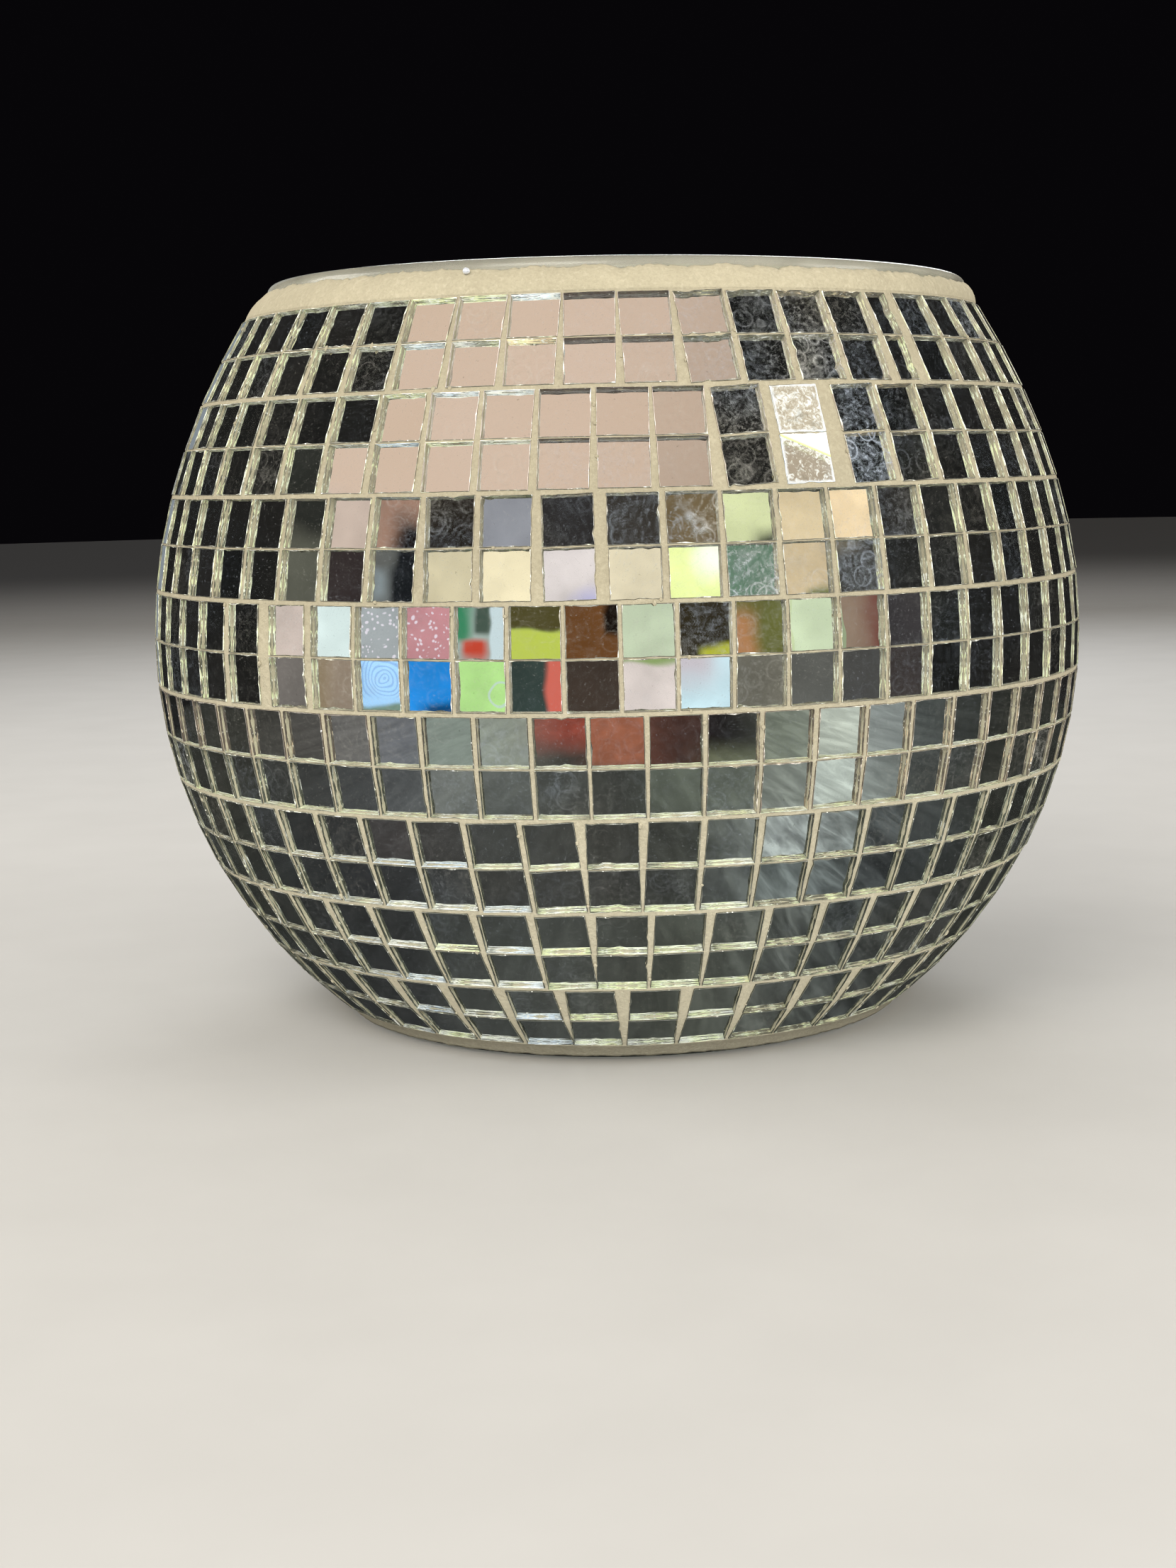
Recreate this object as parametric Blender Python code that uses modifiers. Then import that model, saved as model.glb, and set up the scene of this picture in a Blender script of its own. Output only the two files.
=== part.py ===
"""Mirror mosaic bowl: a round, open-topped glass bowl clad in double rows of
square mirror tiles, with cement grout between them.

Frame: metres, +Z up, origin at the centre of the foot on the resting plane.
-Y is the front, and most of the rings of tiles close near it. Azimuths are in
degrees, 0 at the front and growing towards +X. Profiles are (radius, height).
"""

import math

import bmesh
import bpy
from mathutils import Matrix, Vector

MM = 0.001

# --- Tiles and strips --------------------------------------------------------
R_WIDEST = 103.0 * MM        # radius over the tile faces at the widest row
ROWS = 16                    # rows of tiles, laid as strips of two rows
ROW_PITCH = 10.317 * MM      # row to row, along the surface
TILE = 9.70 * MM             # edge of a square tile
NARROW_TILE = 5.4 * MM       # width of a tile cut to about half
ROW_JOINT = 0.35 * MM        # joint between the two rows of one strip
Z_LOWEST_ROW = 3.60 * MM     # height of the lower edge of the lowest row
# Lean of a row's face from vertical, in degrees, as a cubic in u, lowest power
# first. u runs from -1 at the top row to +1 at the bottom row. Positive leans
# in at the top.
LEAN = (-4.16, -41.61, -3.76, 3.24)

TILE_STAND = 1.20 * MM       # height of a tile over the strip's flexible backing
STRIP_THICK = 2.00 * MM      # tile and backing together
EDGE_DRAFT = 0.10 * MM       # draft of the ground tile edges
TILE_INSET = 0.30 * MM       # first inset of a tile's face, before it is squared up
MARGIN = (2 * ROW_PITCH - 2 * TILE - ROW_JOINT) / 2  # tile edge to strip's nominal edge

# --- Glass and adhesive; depths are under the tile faces ---------------------
ADHESIVE_OUT = 2.30 * MM     # depth of the adhesive's outer face
ADHESIVE_IN = 2.80 * MM      # depth of its inner face
GLASS_DEPTH = 3.10 * MM      # depth of the glass surface
GLASS_WALL = 3.60 * MM
GLASS_FLOOR = 8.00 * MM      # thickness measure: height of the floor at its centre

RIM_TOP_Z = 160.80 * MM
RIM_R = 76.95 * MM           # outer radius of the fire-polished lip
LIP_BEAD = 2.15 * MM         # half the thickness of the rounded lip
LIP_STEPS = 6                # segments in the lip's half circle
NECK_INNER_DROP = 5.0 * MM   # from the rim's top down to the neck's inner corner
FOOT_R = 61.00 * MM          # outer radius of the flat foot ring
FOOT_INNER_R = 52.00 * MM
PUNT = 1.40 * MM             # hollow in the underside, at its centre

# Corners in mm, as (outward, upward) steps from a named point.
NECK_FROM_RIM = ((0.0, -3.3), (0.40, -6.2))
FLOOR_FROM_CENTRE = ((0.0, 0.0), (32.0, 0.2), (53.0, 1.6), (63.5, 4.8))
FOOT_EDGE_FROM_FOOT = ((1.2, 1.50), (0.6, 0.45), (0.0, 0.0))

# --- Grout -------------------------------------------------------------------
GAP = 0.25 * MM              # clearance kept between neighbouring pieces
BAND_IN = ADHESIVE_IN - 0.05 * MM  # depth of the inner corners of the rim band and base ring
RIM_BAND_RECESS = 0.10 * MM  # rim band's lower outer corner, under the tile faces
RIM_BAND_GAP = GAP * 1.2     # rim band's clearance outside the neck
BASE_RING_RECESS = 0.15 * MM  # base ring's upper outer corner, under the tile faces
RIM_BAND_TOP_FROM_RIM = ((0.80, -3.15),)
RIM_BAND_INNER_FROM_RIM = ((0.40, -6.1), (0.0, -3.2))
BASE_RING_FROM_FOOT = ((2.5, 0.95), (1.8, 1.40), (2.3, 3.00))

WEDGE_OUT = 0.10 * MM        # outward shift of the wedges between strips
WEDGE_RECESS = 0.35 * MM     # depth of a wedge's outer face
WEDGE_HALF = 0.13 * MM       # half the width of that face
WEDGE_TIP = 1.75 * MM        # depth of the wedge's inner edge
SEAM_RECESS = 0.25 * MM      # depth of the outer face of a seam bar

TURN_STEPS = 48              # segments round the turned pieces
MERGE_DISTANCE = 0.01 * MM

# --- Layout of the strips ----------------------------------------------------
# Strips from the top down: name, azimuth of the first tile's left edge, number
# of columns, azimuth of the last tile's right edge.
STRIPS = (
    ("mirror_strip_1", 43.5, 45, 367.9),
    ("mirror_strip_2", 27.3, 52, 370.8),
    ("mirror_strip_3", 5.6, 54, 338.5),
    ("mirror_strip_4", -34.5, 59, 310.7),
    ("mirror_strip_5", -178.7, 59, 178.6),
    ("mirror_strip_6", 2.9, 54, 355.4),
    ("mirror_strip_7", 3.9, 48, 355.9),
    ("mirror_strip_8", 0.8, 39, 350.4),
)
# Pieces cut from a strip to close its ring: name, strip (from 0), azimuth of the
# piece's middle, columns, column pitch in degrees, tile width, turn in degrees.
CUT_PIECES = (
    ("strip_1_end_piece", 0, 22.9, 4, 7.15, TILE, 0.0),
    ("strip_1_half_tile_pair", 0, 39.9, 1, 0.0, NARROW_TILE, 0.0),
    ("strip_2_tile_pair_left", 1, 15.0, 1, 0.0, TILE, -1.2),
    ("strip_2_tile_pair_right", 1, 22.1, 1, 0.0, TILE, -0.8),
    ("strip_3_double_pair", 2, -14.65, 2, 6.3, TILE, 0.0),
    ("strip_3_tile_pair_left", 2, -4.8, 1, 0.0, TILE, 1.0),
    ("strip_3_tile_pair_right", 2, 2.1, 1, 0.0, TILE, 0.0),
    ("strip_4_tile_pair_left", 3, -45.5, 1, 0.0, TILE, 0.0),
    ("strip_4_tile_pair_right", 3, -38.2, 1, 0.0, TILE, 0.6),
    ("strip_6_tile_pair", 5, -0.85, 1, 0.0, TILE, 0.5),
    ("strip_7_tile_pair", 6, -0.1, 1, 0.0, TILE, -0.8),
    ("strip_8_tile_pair", 7, -4.7, 1, 0.0, TILE, 0.4),
)
# Bars of grout in the wide gaps where a ring of tiles closes: name, strip
# (from 0), azimuths of the bar's two sides.
SEAM_GROUT = (
    ("seam_grout_1", 0, 37.12, 37.84),
    ("seam_grout_2", 1, 25.5, 26.95),
    ("seam_grout_5", 4, 178.95, 180.95),
)


# --- Scene and materials -----------------------------------------------------
for old in list(bpy.data.objects):
    bpy.data.objects.remove(old, do_unlink=True)

parts = bpy.data.collections.new("mirror_mosaic_bowl")
bpy.context.scene.collection.children.link(parts)


def material(name, colour, roughness, metallic=0.0, transmission=0.0):
    mat = bpy.data.materials.new(name)
    mat.use_nodes = True
    shader = mat.node_tree.nodes["Principled BSDF"]
    shader.inputs["Base Color"].default_value = (*colour, 1.0)
    shader.inputs["Roughness"].default_value = roughness
    shader.inputs["Metallic"].default_value = metallic
    shader.inputs["Transmission Weight"].default_value = transmission
    mat.diffuse_color = (*colour, 1.0)
    return mat


CLEAR_GLASS = material(
    "clear_glass", colour=(0.78, 0.84, 0.80), roughness=0.03, transmission=1.0
)
MIRROR = material("mirror_tile", colour=(0.86, 0.87, 0.86), roughness=0.05, metallic=1.0)
GROUT = material("cream_grout", colour=(0.68, 0.61, 0.46), roughness=0.90)
ADHESIVE = material("tile_adhesive", colour=(0.55, 0.50, 0.40), roughness=0.75)


def add_object(name, mesh, mat):
    mesh.materials.append(mat)
    obj = bpy.data.objects.new(name, mesh)
    parts.objects.link(obj)
    return obj


def add_shell(name, shell, mat):
    """Turns a finished bmesh into an object, and frees it."""
    bmesh.ops.recalc_face_normals(shell, faces=shell.faces)
    mesh = bpy.data.meshes.new(name)
    shell.to_mesh(mesh)
    shell.free()
    add_object(name, mesh, mat)


# --- The tile faces' profile -------------------------------------------------
def row_axes(row):
    """Down a row's face and out of it, as (radial, height) pairs."""
    u = (row - (ROWS - 1) / 2) / ((ROWS - 1) / 2)
    lean = math.radians(sum(factor * u**power for power, factor in enumerate(LEAN)))
    return (
        Vector((math.sin(lean), -math.cos(lean))),
        Vector((math.cos(lean), math.sin(lean))),
    )


def face_profile():
    """Corners of the profile of the tile faces, top to bottom."""
    points = [Vector((0.0, 0.0))]
    for row in range(ROWS):
        points.append(points[-1] + ROW_PITCH * row_axes(row)[0])
    widest = max(point[0] for point in points)
    shift = Vector((R_WIDEST - widest, Z_LOWEST_ROW - points[-1][1]))
    return [point + shift for point in points]


PROFILE = face_profile()


def corner_axes(corner):
    """Down and out at a profile corner, halfway between the rows beside it."""
    above = row_axes(max(corner - 1, 0))
    below = row_axes(min(corner, ROWS - 1))
    return (above[0] + below[0]).normalized(), (above[1] + below[1]).normalized()


def corner_at_depth(corner, depth):
    """A profile corner moved in, so that the rows beside it move in by depth."""
    out = corner_axes(corner)[1]
    spread = out.dot(row_axes(min(corner, ROWS - 1))[1])
    return PROFILE[corner] - out * (depth / spread)


def strip_boundaries(depth):
    """Corners of the strips' upper and lower edges at a depth, top to bottom."""
    return [corner_at_depth(corner, depth) for corner in range(0, ROWS + 1, 2)]


def strip_section(strip, margin, outer_depth):
    """Section of a strip: outer top, middle and bottom, then inner bottom and top."""
    top, low = 2 * strip, 2 * strip + 1
    down_top, out_top = row_axes(top)
    down_low, out_low = row_axes(low)
    head = PROFILE[top] + down_top * margin
    tail = PROFILE[low + 1] - down_low * margin
    return (
        head - out_top * outer_depth,
        corner_at_depth(low, outer_depth),
        tail - out_low * outer_depth,
        tail - out_low * STRIP_THICK,
        head - out_top * STRIP_THICK,
    )


def steps_from(radius, height, steps):
    """Profile points from a table of (outward, upward) steps in mm."""
    return [Vector((radius + out * MM, height + up * MM)) for out, up in steps]


def at(azimuth, radius, height, along=0.0):
    """A point in space at an azimuth in degrees, moved along the tangent."""
    angle = math.radians(azimuth - 90.0)
    return Vector(
        (
            radius * math.cos(angle) - along * math.sin(angle),
            radius * math.sin(angle) + along * math.cos(angle),
            height,
        )
    )


# --- Turned pieces -----------------------------------------------------------
def turned(name, profile, mat, closed=True):
    """A profile turned about the Z axis; an open one has both ends on the axis."""
    mesh = bpy.data.meshes.new(name)
    edges = [(i, i + 1) for i in range(len(profile) - 1)]
    if closed:
        edges.append((len(profile) - 1, 0))
    mesh.from_pydata([(radius, 0.0, z) for radius, z in profile], edges, [])
    screw = add_object(name, mesh, mat).modifiers.new("turn", "SCREW")
    screw.axis = "Z"
    screw.angle = 2 * math.pi
    screw.steps = TURN_STEPS
    screw.render_steps = TURN_STEPS
    screw.use_merge_vertices = True
    screw.merge_threshold = MERGE_DISTANCE
    screw.use_smooth_shade = True


def glass_inner():
    """The inside of the bowl, from the middle of the floor up to the lip."""
    return [
        *steps_from(0.0, GLASS_FLOOR, FLOOR_FROM_CENTRE),
        *strip_boundaries(GLASS_DEPTH + GLASS_WALL)[-2::-1],
        Vector((RIM_R - 2 * LIP_BEAD, RIM_TOP_Z - NECK_INNER_DROP)),
    ]


def glass_lip():
    """Half circle over the lip, from its inner side to its outer side."""
    centre = Vector((RIM_R - LIP_BEAD, RIM_TOP_Z - LIP_BEAD))
    angles = [math.pi * (1 - i / LIP_STEPS) for i in range(LIP_STEPS + 1)]
    return [centre + LIP_BEAD * Vector((math.cos(a), math.sin(a))) for a in angles]


def glass_outer():
    """The glass surface under the tiles, from the lip's outer side to the foot."""
    return [
        *steps_from(RIM_R, RIM_TOP_Z, NECK_FROM_RIM),
        *strip_boundaries(GLASS_DEPTH),
        *steps_from(FOOT_R, 0.0, FOOT_EDGE_FROM_FOOT),
    ]


def glass_underside():
    """The foot ring's inner edge and the hollow inside it, to the middle."""
    return [
        Vector((FOOT_INNER_R, 0.0)),
        Vector((FOOT_INNER_R - 2.0 * MM, 0.55 * MM)),
        Vector((24.0 * MM, PUNT * 0.85)),
        Vector((0.0, PUNT)),
    ]


def build_glass_bowl():
    profile = glass_inner() + glass_lip() + glass_outer() + glass_underside()
    turned("glass_bowl", profile, CLEAR_GLASS, closed=False)


def build_adhesive():
    profile = strip_boundaries(ADHESIVE_OUT) + strip_boundaries(ADHESIVE_IN)[::-1]
    turned("tile_adhesive", profile, ADHESIVE)


def build_rim_grout():
    """Band of grout from the top row's upper edge to the bare lip of the glass."""
    down, out = row_axes(0)
    band_foot = PROFILE[0] - down * GAP
    profile = [
        *steps_from(RIM_R, RIM_TOP_Z, RIM_BAND_TOP_FROM_RIM),
        band_foot - out * RIM_BAND_RECESS,
        band_foot - out * BAND_IN,
        *steps_from(RIM_R + RIM_BAND_GAP, RIM_TOP_Z, RIM_BAND_INNER_FROM_RIM),
    ]
    turned("rim_grout_band", profile, GROUT)


def build_base_grout():
    """Fillet of grout under the lowest row, down to the foot of the glass."""
    down, out = row_axes(ROWS - 1)
    ring_head = PROFILE[ROWS] + down * GAP
    profile = [
        ring_head - out * BASE_RING_RECESS,
        *steps_from(FOOT_R, 0.0, BASE_RING_FROM_FOOT),
        ring_head - out * BAND_IN,
    ]
    turned("base_grout_ring", profile, GROUT)


def build_joint_grout(number):
    """Wedge of grout in the joint under a strip, counted from 1 at the top."""
    corner = 2 * number
    down, out = corner_axes(corner)
    # The strips are many-sided, so their corners stand out past the true circle.
    excess = PROFILE[corner][0] * (1 / math.cos(math.pi / TURN_STEPS) - 1)
    centre = PROFILE[corner] + Vector((WEDGE_OUT + excess / 2, 0.0))
    face_middle = centre - out * WEDGE_RECESS
    profile = [
        face_middle - down * WEDGE_HALF,
        face_middle + down * WEDGE_HALF,
        centre - out * WEDGE_TIP,
    ]
    turned(f"joint_grout_{number}", profile, GROUT)


# --- Strips of mirror tiles --------------------------------------------------
def spin_backing(shell, section, start, step, columns):
    """Sweeps a strip's section round in flat-sided columns; returns its rings."""
    # The corners are moved out so that the middles of the columns keep the radius.
    stretch = 1 / math.cos(math.radians(step) / 2)
    ring = [shell.verts.new(at(start, radius * stretch, z)) for radius, z in section]
    size = len(ring)
    edges = [shell.edges.new((ring[i], ring[(i + 1) % size])) for i in range(size)]
    bmesh.ops.spin(
        shell,
        geom=ring + edges,
        cent=(0, 0, 0),
        axis=(0, 0, 1),
        angle=math.radians(step * columns),
        steps=columns,
        use_merge=False,
        use_duplicate=False,
    )
    shell.verts.ensure_lookup_table()
    return [shell.verts[size * i : size * (i + 1)] for i in range(columns + 1)]


def close_ends(shell, rings, reach):
    """Caps both ends; reach is how much of its length an end column keeps."""
    if len(rings) > 2:
        for end, beside in ((rings[0], rings[1]), (rings[-1], rings[-2])):
            for end_vert, beside_vert in zip(end, beside):
                end_vert.co = beside_vert.co.lerp(end_vert.co, reach)
    for end in (rings[0], rings[-1]):
        bmesh.ops.contextual_create(shell, geom=list(end))
    bmesh.ops.recalc_face_normals(shell, faces=shell.faces)


def tile_faces(rings):
    """The backing's outer faces, each with its (column, row)."""
    faces = {}
    for column, (near, far) in enumerate(zip(rings, rings[1:])):
        for row in (0, 1):
            corners = {near[row], near[row + 1], far[row], far[row + 1]}
            face = next(f for f in near[row].link_faces if set(f.verts) == corners)
            faces[face] = (column, row)
    return faces


def square_up(face, strip, row, middle, width):
    """Moves a raised face's corners to those of its tile."""
    down = row_axes(2 * strip + row)[0]
    begin = MARGIN if row == 0 else ROW_JOINT / 2
    centre_z = sum(vert.co.z for vert in face.verts) / 4
    tangent = at(middle, 0.0, 0.0, 1.0)
    for vert in face.verts:
        distance = begin if vert.co.z > centre_z else begin + TILE
        radius, z = PROFILE[2 * strip + row] + down * distance
        side = 1 if vert.co.dot(tangent) > 0 else -1
        vert.co = at(middle, radius, z, side * width / 2)


def turn_in_place(shell, strip, middle, turn):
    """Turns a piece by some degrees about the line out of its middle."""
    corner = 2 * strip + 1
    axis = at(middle, *corner_axes(corner)[1])
    bmesh.ops.rotate(
        shell,
        verts=shell.verts,
        cent=at(middle, *PROFILE[corner]),
        matrix=Matrix.Rotation(math.radians(turn), 3, axis),
    )


def tile_strip(name, strip, first_middle, columns, pitch, width=TILE, turn=0.0):
    """A strip of two rows of tiles on one backing: first_middle is the azimuth of
    the first column's middle and pitch the step between columns, in degrees."""
    section = strip_section(strip, MARGIN - EDGE_DRAFT, TILE_STAND)
    half_tile = math.degrees((width / 2 + EDGE_DRAFT) / PROFILE[2 * strip + 1][0])
    step = pitch if columns > 1 else 2 * half_tile
    shell = bmesh.new()
    rings = spin_backing(shell, section, first_middle - step / 2, step, columns)
    # The two ends stop just past their tiles, not in the middle of a joint.
    close_ends(shell, rings, reach=(half_tile + step / 2) / step)
    faces = tile_faces(rings)
    bmesh.ops.inset_individual(
        shell,
        faces=list(faces),
        thickness=TILE_INSET,
        depth=TILE_STAND,
        use_even_offset=True,
    )
    for face, (column, row) in faces.items():
        square_up(face, strip, row, first_middle + column * step, width)
    if turn:
        turn_in_place(shell, strip, first_middle + (columns - 1) * step / 2, turn)
    add_shell(name, shell, MIRROR)


def build_full_strips():
    for strip, (name, first_edge, columns, last_edge) in enumerate(STRIPS):
        tile_angle = math.degrees(TILE / PROFILE[2 * strip + 1][0])
        pitch = (last_edge - first_edge - tile_angle) / (columns - 1)
        tile_strip(name, strip, first_edge + tile_angle / 2, columns, pitch)


def build_cut_pieces():
    for name, strip, middle, columns, pitch, width, turn in CUT_PIECES:
        first_middle = middle - (columns - 1) * pitch / 2
        tile_strip(name, strip, first_middle, columns, pitch, width, turn)


def build_seam_grout(name, strip, low, high):
    """Bar of grout across a strip, between two azimuths."""
    section = strip_section(strip, MARGIN + EDGE_DRAFT, SEAM_RECESS)
    shell = bmesh.new()
    face = shell.faces.new([shell.verts.new(at(low, radius, z)) for radius, z in section])
    moved = bmesh.ops.extrude_face_region(shell, geom=[face])["geom"]
    rotation = Matrix.Rotation(math.radians(high - low), 3, "Z")
    for item in moved:
        if isinstance(item, bmesh.types.BMVert):
            item.co = rotation @ item.co
    add_shell(name, shell, GROUT)


# --- Build -------------------------------------------------------------------
build_glass_bowl()
build_adhesive()
build_rim_grout()
build_base_grout()
for joint in range(1, ROWS // 2):
    build_joint_grout(joint)
build_full_strips()
build_cut_pieces()
for seam in SEAM_GROUT:
    build_seam_grout(*seam)
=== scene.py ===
"""A glass bowl covered with eight strips of small square mirror tiles set in cream grout.

It stands on its foot at z = 0 with its axis on Z. Lengths are in mm until they are handed to
Blender. Azimuths are in degrees: 0 is the front (-Y) and they grow towards the right (+X).
Arc lengths run down the outside from the top of the uppermost row.
"""

import math
import random

import bmesh
import bpy
import numpy as np
from mathutils import Matrix, Vector, noise
from mathutils.geometry import delaunay_2d_cdt


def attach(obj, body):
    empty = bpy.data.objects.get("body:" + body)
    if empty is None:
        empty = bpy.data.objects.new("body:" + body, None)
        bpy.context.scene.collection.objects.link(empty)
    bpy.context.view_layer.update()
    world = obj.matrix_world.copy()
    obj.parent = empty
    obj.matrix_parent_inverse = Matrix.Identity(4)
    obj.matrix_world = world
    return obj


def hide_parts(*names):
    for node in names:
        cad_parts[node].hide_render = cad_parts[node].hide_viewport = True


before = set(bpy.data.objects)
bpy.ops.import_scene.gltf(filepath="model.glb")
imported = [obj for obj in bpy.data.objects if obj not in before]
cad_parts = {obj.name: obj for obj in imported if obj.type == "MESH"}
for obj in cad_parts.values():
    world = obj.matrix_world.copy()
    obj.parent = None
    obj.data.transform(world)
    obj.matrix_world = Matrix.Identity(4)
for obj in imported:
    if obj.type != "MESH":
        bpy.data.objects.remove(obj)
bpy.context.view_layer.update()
MM = 0.001

# --------------------------------------------------------------------------
# Sizes
# --------------------------------------------------------------------------
WIDEST_R, ROWS, ROW_PITCH = 103.0, 16, 10.317
TILE, ROW_JOINT, LOWEST_ROW_Z = 9.70, 0.35, 3.60
LEAN = (-4.16, -41.61, -3.76, 3.24)  # polynomial: a row's lean, from -1 (top) to 1 (bottom)
TILE_THICK = 1.90
RIM_TOP_Z, RIM_R, FOOT_R = 160.80, 76.95, 61.0
GLASS_DEPTH, GLASS_WALL, GLASS_FLOOR = 3.10, 3.60, 8.0
POCKET, BED_BACK = 2.40, 2.72  # depths of the pockets' floors and of the grout's back
BEHIND_COAT = 3.02  # depth at which the end bands meet the glass
RING_STEPS = 400  # points on each line between two strips
RIM_SHIFT = 1.45  # the lip lies this far to the right
LIP_R = 2.15

# strip: azimuth of the first tile's left edge, columns, azimuth of the last
# tile's right edge, turn of its first and of its last columns in degrees
STRIPS = (
    (43.5, 45, 367.9, 0.0, 0.4),
    (27.3, 52, 370.8, 1.8, 0.0),
    (5.6, 54, 338.5, 0.3, -0.8),
    (-34.5, 59, 310.7, 0.0, -0.4),
    (-178.7, 59, 178.6, 0.0, 0.0),
    (2.9, 54, 355.4, -1.0, 3.4),
    (3.9, 48, 355.9, 0.6, 2.8),
    (0.8, 39, 350.4, 0.0, 2.2),
)
# cut pieces: CAD node, strip, middle azimuth, pitch in degrees, width, turn of each column
CUT_PIECES = (
    ("strip_1_end_piece", 0, 22.9, 7.15, TILE, (3.0, 1.6, 0.4, -0.4)),
    ("strip_1_half_tile_pair", 0, 39.9, 0.0, 5.4, (0.6,)),
    ("strip_2_tile_pair_left", 1, 15.0, 0.0, TILE, (3.6,)),
    ("strip_2_tile_pair_right", 1, 22.1, 0.0, TILE, (1.0,)),
    ("strip_3_double_pair", 2, -14.65, 6.3, TILE, (0.9, 0.3)),
    ("strip_3_tile_pair_left", 2, -4.8, 0.0, TILE, (1.4,)),
    ("strip_3_tile_pair_right", 2, 2.1, 0.0, TILE, (0.4,)),
    ("strip_4_tile_pair_left", 3, -45.5, 0.0, TILE, (0.3,)),
    ("strip_4_tile_pair_right", 3, -38.2, 0.0, TILE, (0.8,)),
    ("strip_6_tile_pair", 5, -0.85, 0.0, TILE, (0.4,)),
    ("strip_7_tile_pair", 6, -0.1, 0.0, TILE, (-0.8,)),
    ("strip_8_tile_pair", 7, -4.7, 0.0, TILE, (0.5,)),
)
# tiles covered with dried glue: piece, 0 for its upper or 1 for its lower tile; share covered
GLUED = {("strip_2_tile_pair_right", 0): 0.95, ("strip_2_tile_pair_right", 1): 0.80}
# single hazy tiles: row, azimuth, haze
HAZY_TILES = (
    (4, 8.4, 0.30), (4, 2.0, 0.12), (4, -17.8, 0.10), (4, 33.0, 0.12), (5, 14.7, 0.42),
    (5, 27.0, 0.22), (5, 20.9, 0.10), (6, 8.8, 0.14), (2, 14.5, 0.10), (2, 29.4, 0.16),
    (3, 29.4, 0.38),
)


# --------------------------------------------------------------------------
# The profile of the tile faces
# --------------------------------------------------------------------------
def lean_of(row):
    place = (row - (ROWS - 1) / 2) / ((ROWS - 1) / 2)
    return math.radians(sum(factor * place**i for i, factor in enumerate(LEAN)))


def row_axes(row):
    """The directions down along a row and out from it, as (radius, height)."""
    lean = lean_of(row)
    down = np.array([math.sin(lean), -math.cos(lean)])
    return down, np.array([math.cos(lean), math.sin(lean)])


def row_corners():
    """(radius, height) of the lines between the rows, from the top down."""
    corners = [np.zeros(2)]
    for row in range(ROWS):
        corners.append(corners[-1] + ROW_PITCH * row_axes(row)[0])
    widest = max(corner[0] for corner in corners)
    return np.array(corners) + np.array([WIDEST_R - widest, LOWEST_ROW_Z - corners[-1][1]])


CORNERS = row_corners()
LEANS = np.array([lean_of(row) for row in range(ROWS)])
ROW_CENTRES = (np.arange(ROWS) + 0.5) * ROW_PITCH


def profile_at(arc):
    """Radius, height and outward direction of the profile at arc lengths."""
    arc = np.asarray(arc, float)
    row = np.clip((arc // ROW_PITCH).astype(int), 0, ROWS - 1)
    past = arc - row * ROW_PITCH
    radius = CORNERS[row, 0] + np.sin(LEANS[row]) * past
    height = CORNERS[row, 1] - np.cos(LEANS[row]) * past
    lean = np.interp(arc, ROW_CENTRES, LEANS)
    return radius, height, np.cos(lean), np.sin(lean)


def section_point(arc, depth):
    """(radius, height) at arc lengths and depths under the tile faces."""
    radius, height, out_r, out_z = profile_at(arc)
    return radius - out_r * depth, height - out_z * depth


def around(azimuth, radius, height):
    """Points at azimuths, radii and heights."""
    angle = np.radians(np.asarray(azimuth, float) - 90.0)
    return np.stack([radius * np.cos(angle), radius * np.sin(angle), height], -1)


def on_surface(azimuth, arc, depth):
    return around(azimuth, *section_point(arc, depth))


def surface_noise(points, scale, octaves, seed=0.0):
    """Smooth noise in about -1..1 at points; scale is features per mm."""
    values = np.empty(len(points))
    for i, (x, y, z) in enumerate(points):
        place = Vector((x * scale + seed, y * scale - seed, z * scale + 2 * seed))
        values[i] = noise.fractal(place, 1.0, 2.0, octaves)
    return values


def ring_noise(azimuth, z, scale, octaves, seed):
    """Smooth noise round a ring of 80 mm radius."""
    angle = math.radians(azimuth)
    x, y = 80.0 * math.cos(angle), 80.0 * math.sin(angle)
    return noise.fractal(Vector((x * scale + seed, y * scale, z * scale)), 1.0, 2.0, octaves)


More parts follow.
